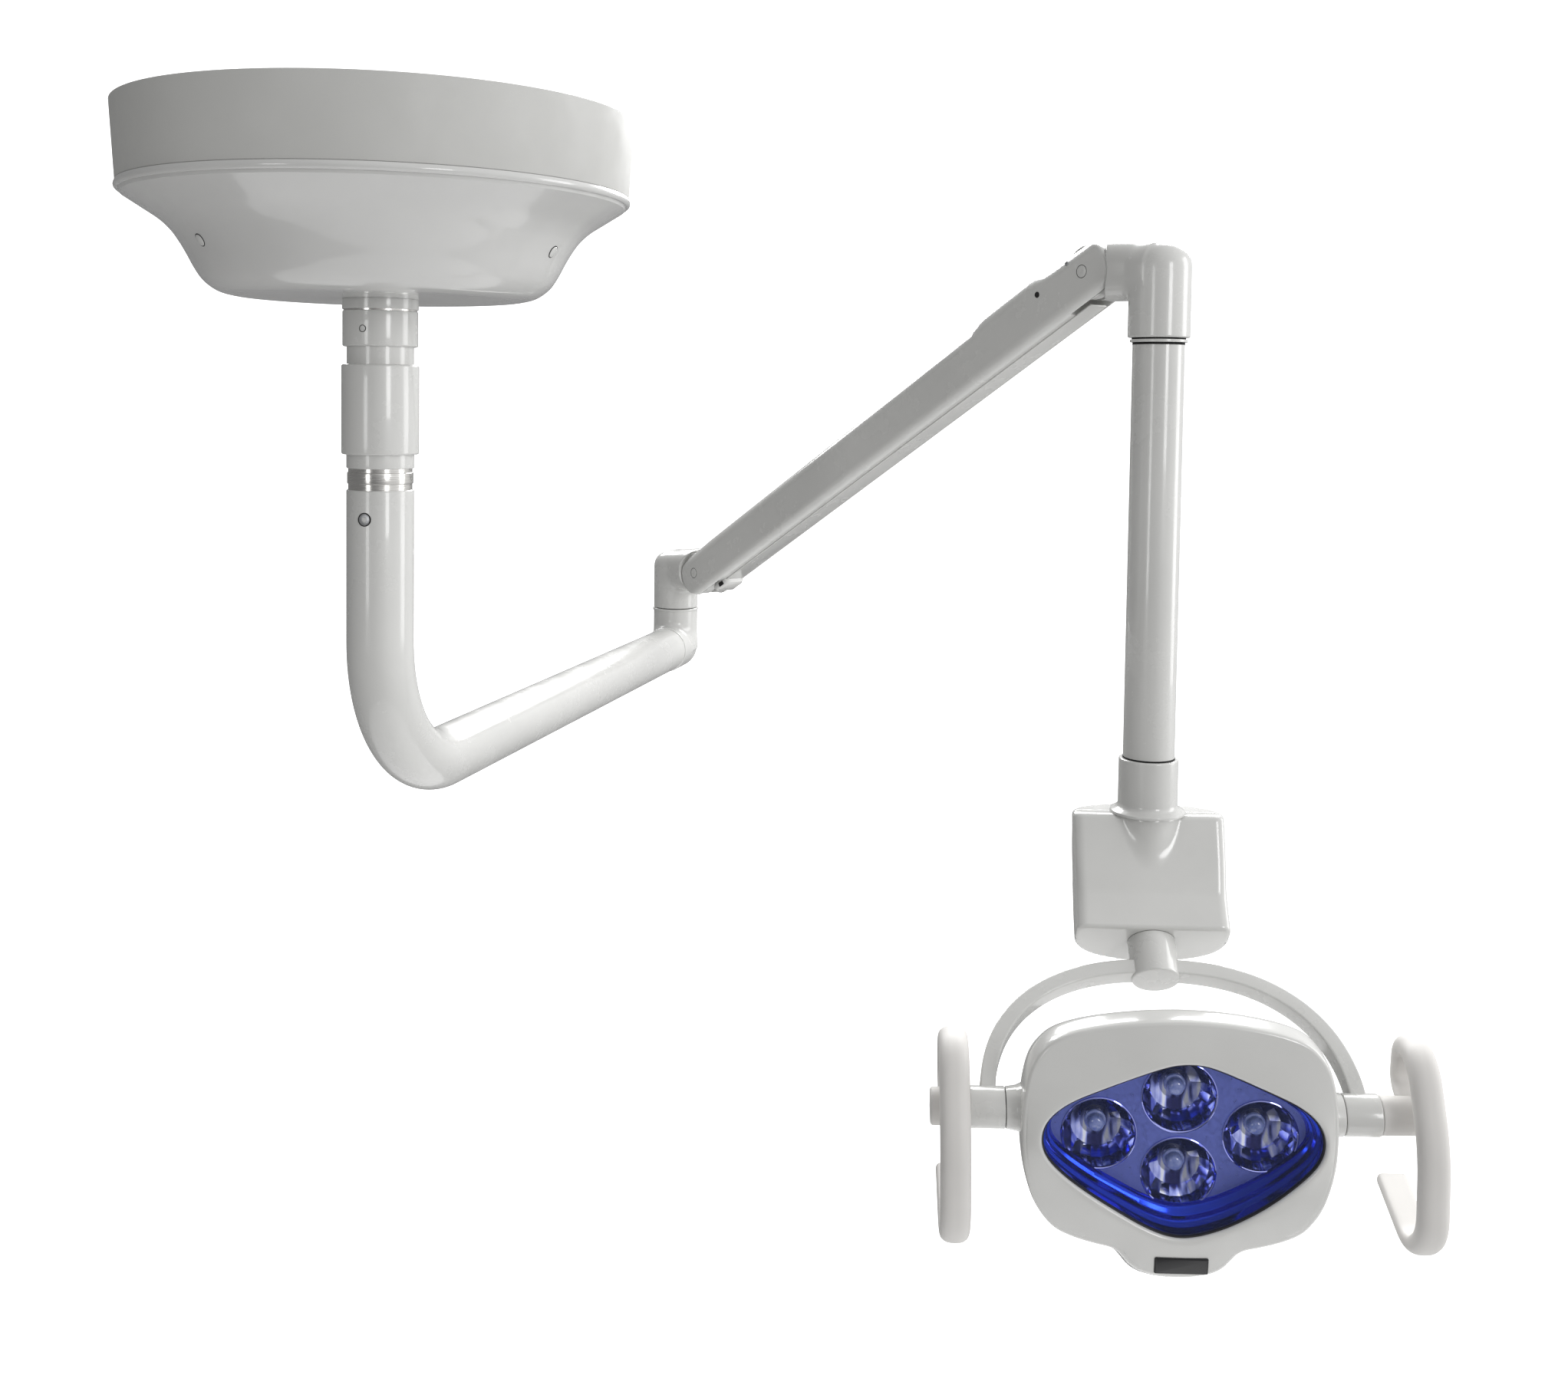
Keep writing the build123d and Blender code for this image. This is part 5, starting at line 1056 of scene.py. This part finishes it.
# The stepped rim takes the darker blue mirror, painted shade.
add_piece("tray_rim", *skin(rim_rings), HEAD, ("blue_mirror", BLUE_RIM_SHADED), "reflector_tray", sharp=28)


def plate_shape():
    """Flat plate bounded by its rim and pierced by the lamp openings."""
    build = bmesh.new()
    loops = [level(PLATE_EDGE, PLATE)]
    angles = 2 * pi * np.arange(96) / 96
    for x, y in LAMPS:
        loops.append(np.column_stack([x + LAMP_RADIUS * np.cos(angles), y + LAMP_RADIUS * np.sin(angles),
                                      np.full(96, PLATE)]))
    edges = []
    for loop in loops:
        corners = [build.verts.new(point) for point in loop]
        edges += [build.edges.new((corners[i], corners[(i + 1) % len(corners)])) for i in range(len(corners))]
    bmesh.ops.triangle_fill(build, use_beauty=True, use_dissolve=False, edges=edges)
    build.verts.index_update()
    points = [tuple(vertex.co) for vertex in build.verts]
    faces = [tuple(vertex.index for vertex in face.verts) for face in build.faces]
    build.free()
    return points, faces


add_piece("tray_plate", *plate_shape(), HEAD, ("blue_mirror", BLUE_PLATE), "reflector_tray")

# Faceted mirror cups: flat staves in the walls, over a flatter floor
STAVES = 20
CUP = ((28.0, 8.0), (25.6, -3.5), (19.5, -10.5), (12.0, -13.2), (6.0, -13.6))


def cup_shape(x, y):
    angles = 2 * pi * (np.arange(STAVES) + 0.5) / STAVES
    rings = [np.column_stack([x + radius * np.cos(angles), y + radius * np.sin(angles), np.full(STAVES,
             height)]) for radius, height in CUP]
    return skin(rings)


for number, (x, y) in enumerate(LAMPS):
    # The cup material paints its reflections and the shade over its upper part.
    add_piece(f"reflector_cup_{number}", *cup_shape(x, y), HEAD, ("silver_mirror", CUP_PAINTED_REFLECTIONS), "reflectors",
              sharp=1)
    bead = [(LAMP_RADIUS + 0.9, PLATE - 0.2), (LAMP_RADIUS + 0.7, PLATE + 0.7), (LAMP_RADIUS, PLATE + 1.0),
            (LAMP_RADIUS - 0.6, PLATE + 0.4), (LAMP_RADIUS - 0.6, PLATE - 1.5)]
    add_piece(f"reflector_rim_{number}", *turned(lathe(bead, closed=False), (1, 0, 0), (0, 0, 1), (x, y, 0)),
              HEAD, ("silver_mirror", SILVER), "reflectors")
    lens = lathe(rounded([(8.4, -14.5), (8.4, -11.4, 1.0), (6.6, -11.0, 0.4), (6.4, -4.6, 4.8), (0.01, -3.2)],
                 8), closed=False, segments=64)
    add_piece(f"led_lens_{number}", *turned(lens, (1, 0, 0), (0, 0, 1), (x, y, 0)), HEAD, ("led_yellow", LED),
              "led_modules")
    base = lathe([(0.01, -13.9), (13.0, -13.9), (13.0, -14.8), (0.01, -14.8)], segments=6)
    add_piece(f"led_board_{number}", *turned(base, (1, 0, 0), (0, 0, 1), (x, y, 0)), HEAD, ("circuit_board",
              BOARD), "led_modules")

# Display under the window, with its thin surround
FACE_LEVEL = FRONT - 1.75
DISPLAY = np.array((3.2, -106.6))


def flat_plate(half_x, half_y, radius, low, high, edge):
    section = box_section(half_x, half_y, radius)
    rings = []
    for height, shrink in ((low, 0), (high - edge, 0), (high - edge * 0.3, edge * 0.3), (high, edge)):
        scale = (np.array([half_x, half_y]) - shrink) / np.array([half_x, half_y])
        ring = level(section * scale + DISPLAY, height)
        ring[:, 2] += 0.15 * (ring[:, 1] - DISPLAY[1])
        rings.append(ring)
    return skin(rings, last_cap=True)


add_piece("display_surround", *flat_plate(20.0, 6.9, 1.2, 25.0, FACE_LEVEL + 0.35, 0.3), HEAD, ("black_seal",
          RUBBER), "display_window")
add_piece("display_glass", *flat_plate(19.2, 6.1, 0.8, 26.0, FACE_LEVEL + 0.7, 0.25), HEAD, ("display_black",
          DISPLAY_BLACK), "display_window")

# Trunnions between the head and the yoke's bosses
for side, side_name in ((-1, "left"), (1, "right")):
    cone = lathe(rounded([(14, 105), (19.0, 105), (18.6, 114.2, 2.0), (16.6, 118.5, 4), (15.3, 126.5, 0.6),
                          (9, 126.5)], 6))
    add_piece(f"trunnion_{side_name}", *turned(cone, (0, 0, 1), (side, 0, 0)), HEAD, PLASTIC, "tilt_shafts")
    # Painted shade: a near-black sleeve round each tilt shaft.
    shaft = lathe([(12.5, 126), (12.5, 154.6)], closed=False)
    add_piece(f"tilt_shadow_{side_name}", *turned(shaft, (0, 0, 1), (side, 0, 0)), HEAD, SHADOW,
              "tilt_shafts")

# Handles: a hooked loop in an upright plane with a pivot hub through it
HANDLE_CORNERS = [(-6, 3), (-30, 14), (-26, 50), (12, 49), (44, -6), (46, -70), (16, -97), (-54, -80)]
HANDLE_BENDS = [14, 16, 40, 90, 34, 36]
handle_line = even(bent_line(HANDLE_CORNERS, HANDLE_BENDS, 24), 140)


def handle_section():
    """Half-round outer side and a nearly flat inner side, which faces the path's centre."""
    outer = [(7.2, 0), (6.9, 4.2), (5.6, 7.8), (3.0, 10.4), (-0.6, 11.5), (-4.0, 11.3), (-6.2, 10.0), (-7.0,
             7.6), (-7.0, 4.0), (-7.0, 0)]
    half = np.array(outer, float)
    other = half[-2:0:-1] * np.array([1, -1])
    return flowing(np.vstack([half, other]), 4, closed=True)


for side, side_name, loop_x, hub_end in ((-1, "left", 166.2, 184.0), (1, "right", 182.0, 193.6)):
    points, faces = flat_sweep(handle_line, handle_section(), start_round=3.0, end_round=2.6)
    # The sweep is in (w, across, v); the head's axes are (x, y, z) = (across, v, w).
    loop = np.stack([points[:, 1] + side * loop_x, points[:, 2], points[:, 0]], axis=1)
    hub = lathe(rounded([(9.2, 154.4), (14.4, 154.4, 1.2), (13.9, hub_end, 2.2), (0.01, hub_end + 0.6)], 6),
                closed=False, segments=72)
    add_piece(f"{side_name}_handle_loop", *joined((loop, faces), turned(hub, (0, 0, 1), (side, 0, 0))), HEAD,
              ("handle_plastic", HANDLE), f"{side_name}_handle", sharp=40)

# ------------------------------------------------------------------ finishes of the CAD parts inside
INSIDE = {
    "ceiling_plate": ZINC, "canopy_brackets": ZINC, "power_supply": ALUMINIUM, "mount_screws": DARK_STEEL,
    "ceiling_tube": ENAMEL, "pivot_shaft": ZINC, "shaft_retainer": ZINC, "s_arm_bushes": BRONZE,
    "brake_pad": LINING, "elbow_retainer": ZINC, "lower_lug_bushes": BRONZE, "lower_rod_pins": ZINC,
    "pivot_pins": ZINC, "spring_anchor": ZINC, "pull_rod": ZINC, "spring_seat": ZINC,
    "balance_spring": SPRING_WIRE, "tie_rod": ZINC, "upper_bushes": BRONZE, "upper_rod_pin": ZINC,
    "drop_retainer": ZINC, "hub_socket": ALUMINIUM, "driver_board": BOARD, "spindle_retainer": ZINC,
    "yoke_bushes": BRONZE, "heat_sink": ALUMINIUM, "display_board": BOARD,
}
for name, material in INSIDE.items():
    mesh = frame["nodes"][name].data
    mesh.materials.clear()
    mesh.materials.append(material)

# ------------------------------------------------------------------ room, light and camera
FLOOR_Z = -2.4
FLOOR_RADIUS = 2.1
FLOOR_MIDDLE_X = 0.35


def build_floor():
    mesh = bpy.data.meshes.new("floor")
    corners = [(FLOOR_MIDDLE_X + FLOOR_RADIUS * cos(2 * pi * step / 96),
               FLOOR_RADIUS * sin(2 * pi * step / 96), FLOOR_Z) for step in range(96)]
    mesh.from_pydata(corners, [], [tuple(range(96))])
    floor = bpy.data.objects.new("floor", mesh)
    bpy.context.scene.collection.objects.link(floor)
    material, shader = new_material("floor_pale", (0.93, 0.93, 0.93), 0.7)
    tone = colour_between(material, noise(material, 1.5, 3), (0.92, 0.92, 0.92), (0.94, 0.94, 0.94))
    link(material, tone, shader.inputs["Base Color"])
    mesh.materials.append(material)


def build_world(seen, dim, bright, toward):
    """White backdrop for the camera, and for the light a surround that brightens in one direction."""
    world = bpy.data.worlds.new("studio")
    world.use_nodes = True
    tree = world.node_tree
    background = tree.nodes["Background"]
    coordinates = tree.nodes.new("ShaderNodeTexCoord")
    facing = tree.nodes.new("ShaderNodeVectorMath")
    facing.operation = "DOT_PRODUCT"
    facing.inputs[1].default_value = Vector(toward).normalized()
    tree.links.new(coordinates.outputs["Generated"], facing.inputs[0])
    glow = tree.nodes.new("ShaderNodeMapRange")
    glow.interpolation_type = "SMOOTHSTEP"
    for key, value in (("From Min", -0.25), ("From Max", 0.95), ("To Min", dim), ("To Max", bright)):
        glow.inputs[key].default_value = value
    tree.links.new(facing.outputs["Value"], glow.inputs["Value"])
    path = tree.nodes.new("ShaderNodeLightPath")
    blend = tree.nodes.new("ShaderNodeMix")
    blend.data_type = "FLOAT"
    blend.inputs["B"].default_value = seen
    tree.links.new(glow.outputs["Result"], blend.inputs["A"])
    tree.links.new(path.outputs["Is Camera Ray"], blend.inputs["Factor"])
    tree.links.new(blend.outputs["Result"], background.inputs["Strength"])
    background.inputs["Color"].default_value = (1, 1, 1, 1)
    bpy.context.scene.world = world


def area_light(name, place, target, size, power, tint=(1, 1, 1)):
    data = bpy.data.lights.new(name, "AREA")
    data.shape = "RECTANGLE"
    data.size, data.size_y = size
    data.energy = power
    data.color = tint
    light = bpy.data.objects.new(name, data)
    light.location = place
    light.rotation_euler = (Vector(target) - Vector(place)).to_track_quat("-Z", "Y").to_euler()
    bpy.context.scene.collection.objects.link(light)


build_floor()
build_world(seen=1.6, dim=0.24, bright=1.06, toward=(0.78, -0.05, 0.62))
area_light("back_top", (0.4, 1.7, 0.6), (0.4, 0.2, -0.6), (2.4, 0.8), 62)
area_light("right_side", (3.0, 0.3, 0.1), (0.4, 0.1, -0.5), (1.0, 2.0), 22)
area_light("front_right", (2.0, -2.6, 0.2), (0.5, 0.1, -0.6), (0.7, 1.2), 18)
area_light("front_left", (-1.6, -2.8, -0.3), (0.4, 0.1, -0.6), (0.6, 1.0), 8)

PITCH = radians(2.85)
ROLL = radians(0.76)
CAMERA_PLACE = (0.2949, -1.2010, -0.1965)
LENS_MM = 37.79
SHIFT_UP = -0.1384
forward = Vector((0, cos(PITCH), -sin(PITCH)))
upward = Vector((0, sin(PITCH), cos(PITCH)))
rightward = Vector((1, 0, 0))
camera_right = rightward * cos(ROLL) + upward * sin(ROLL)
camera_up = -rightward * sin(ROLL) + upward * cos(ROLL)
camera_data = bpy.data.cameras.new("camera")
camera_data.lens = LENS_MM
camera_data.shift_y = SHIFT_UP
camera_data.clip_end = 60
camera = bpy.data.objects.new("camera", camera_data)
camera.matrix_world = Matrix.Translation(CAMERA_PLACE) @ Matrix(
    (camera_right, camera_up, -forward)).transposed().to_4x4()
bpy.context.scene.collection.objects.link(camera)
bpy.context.scene.camera = camera
bpy.context.scene.view_settings.view_transform = "Standard"
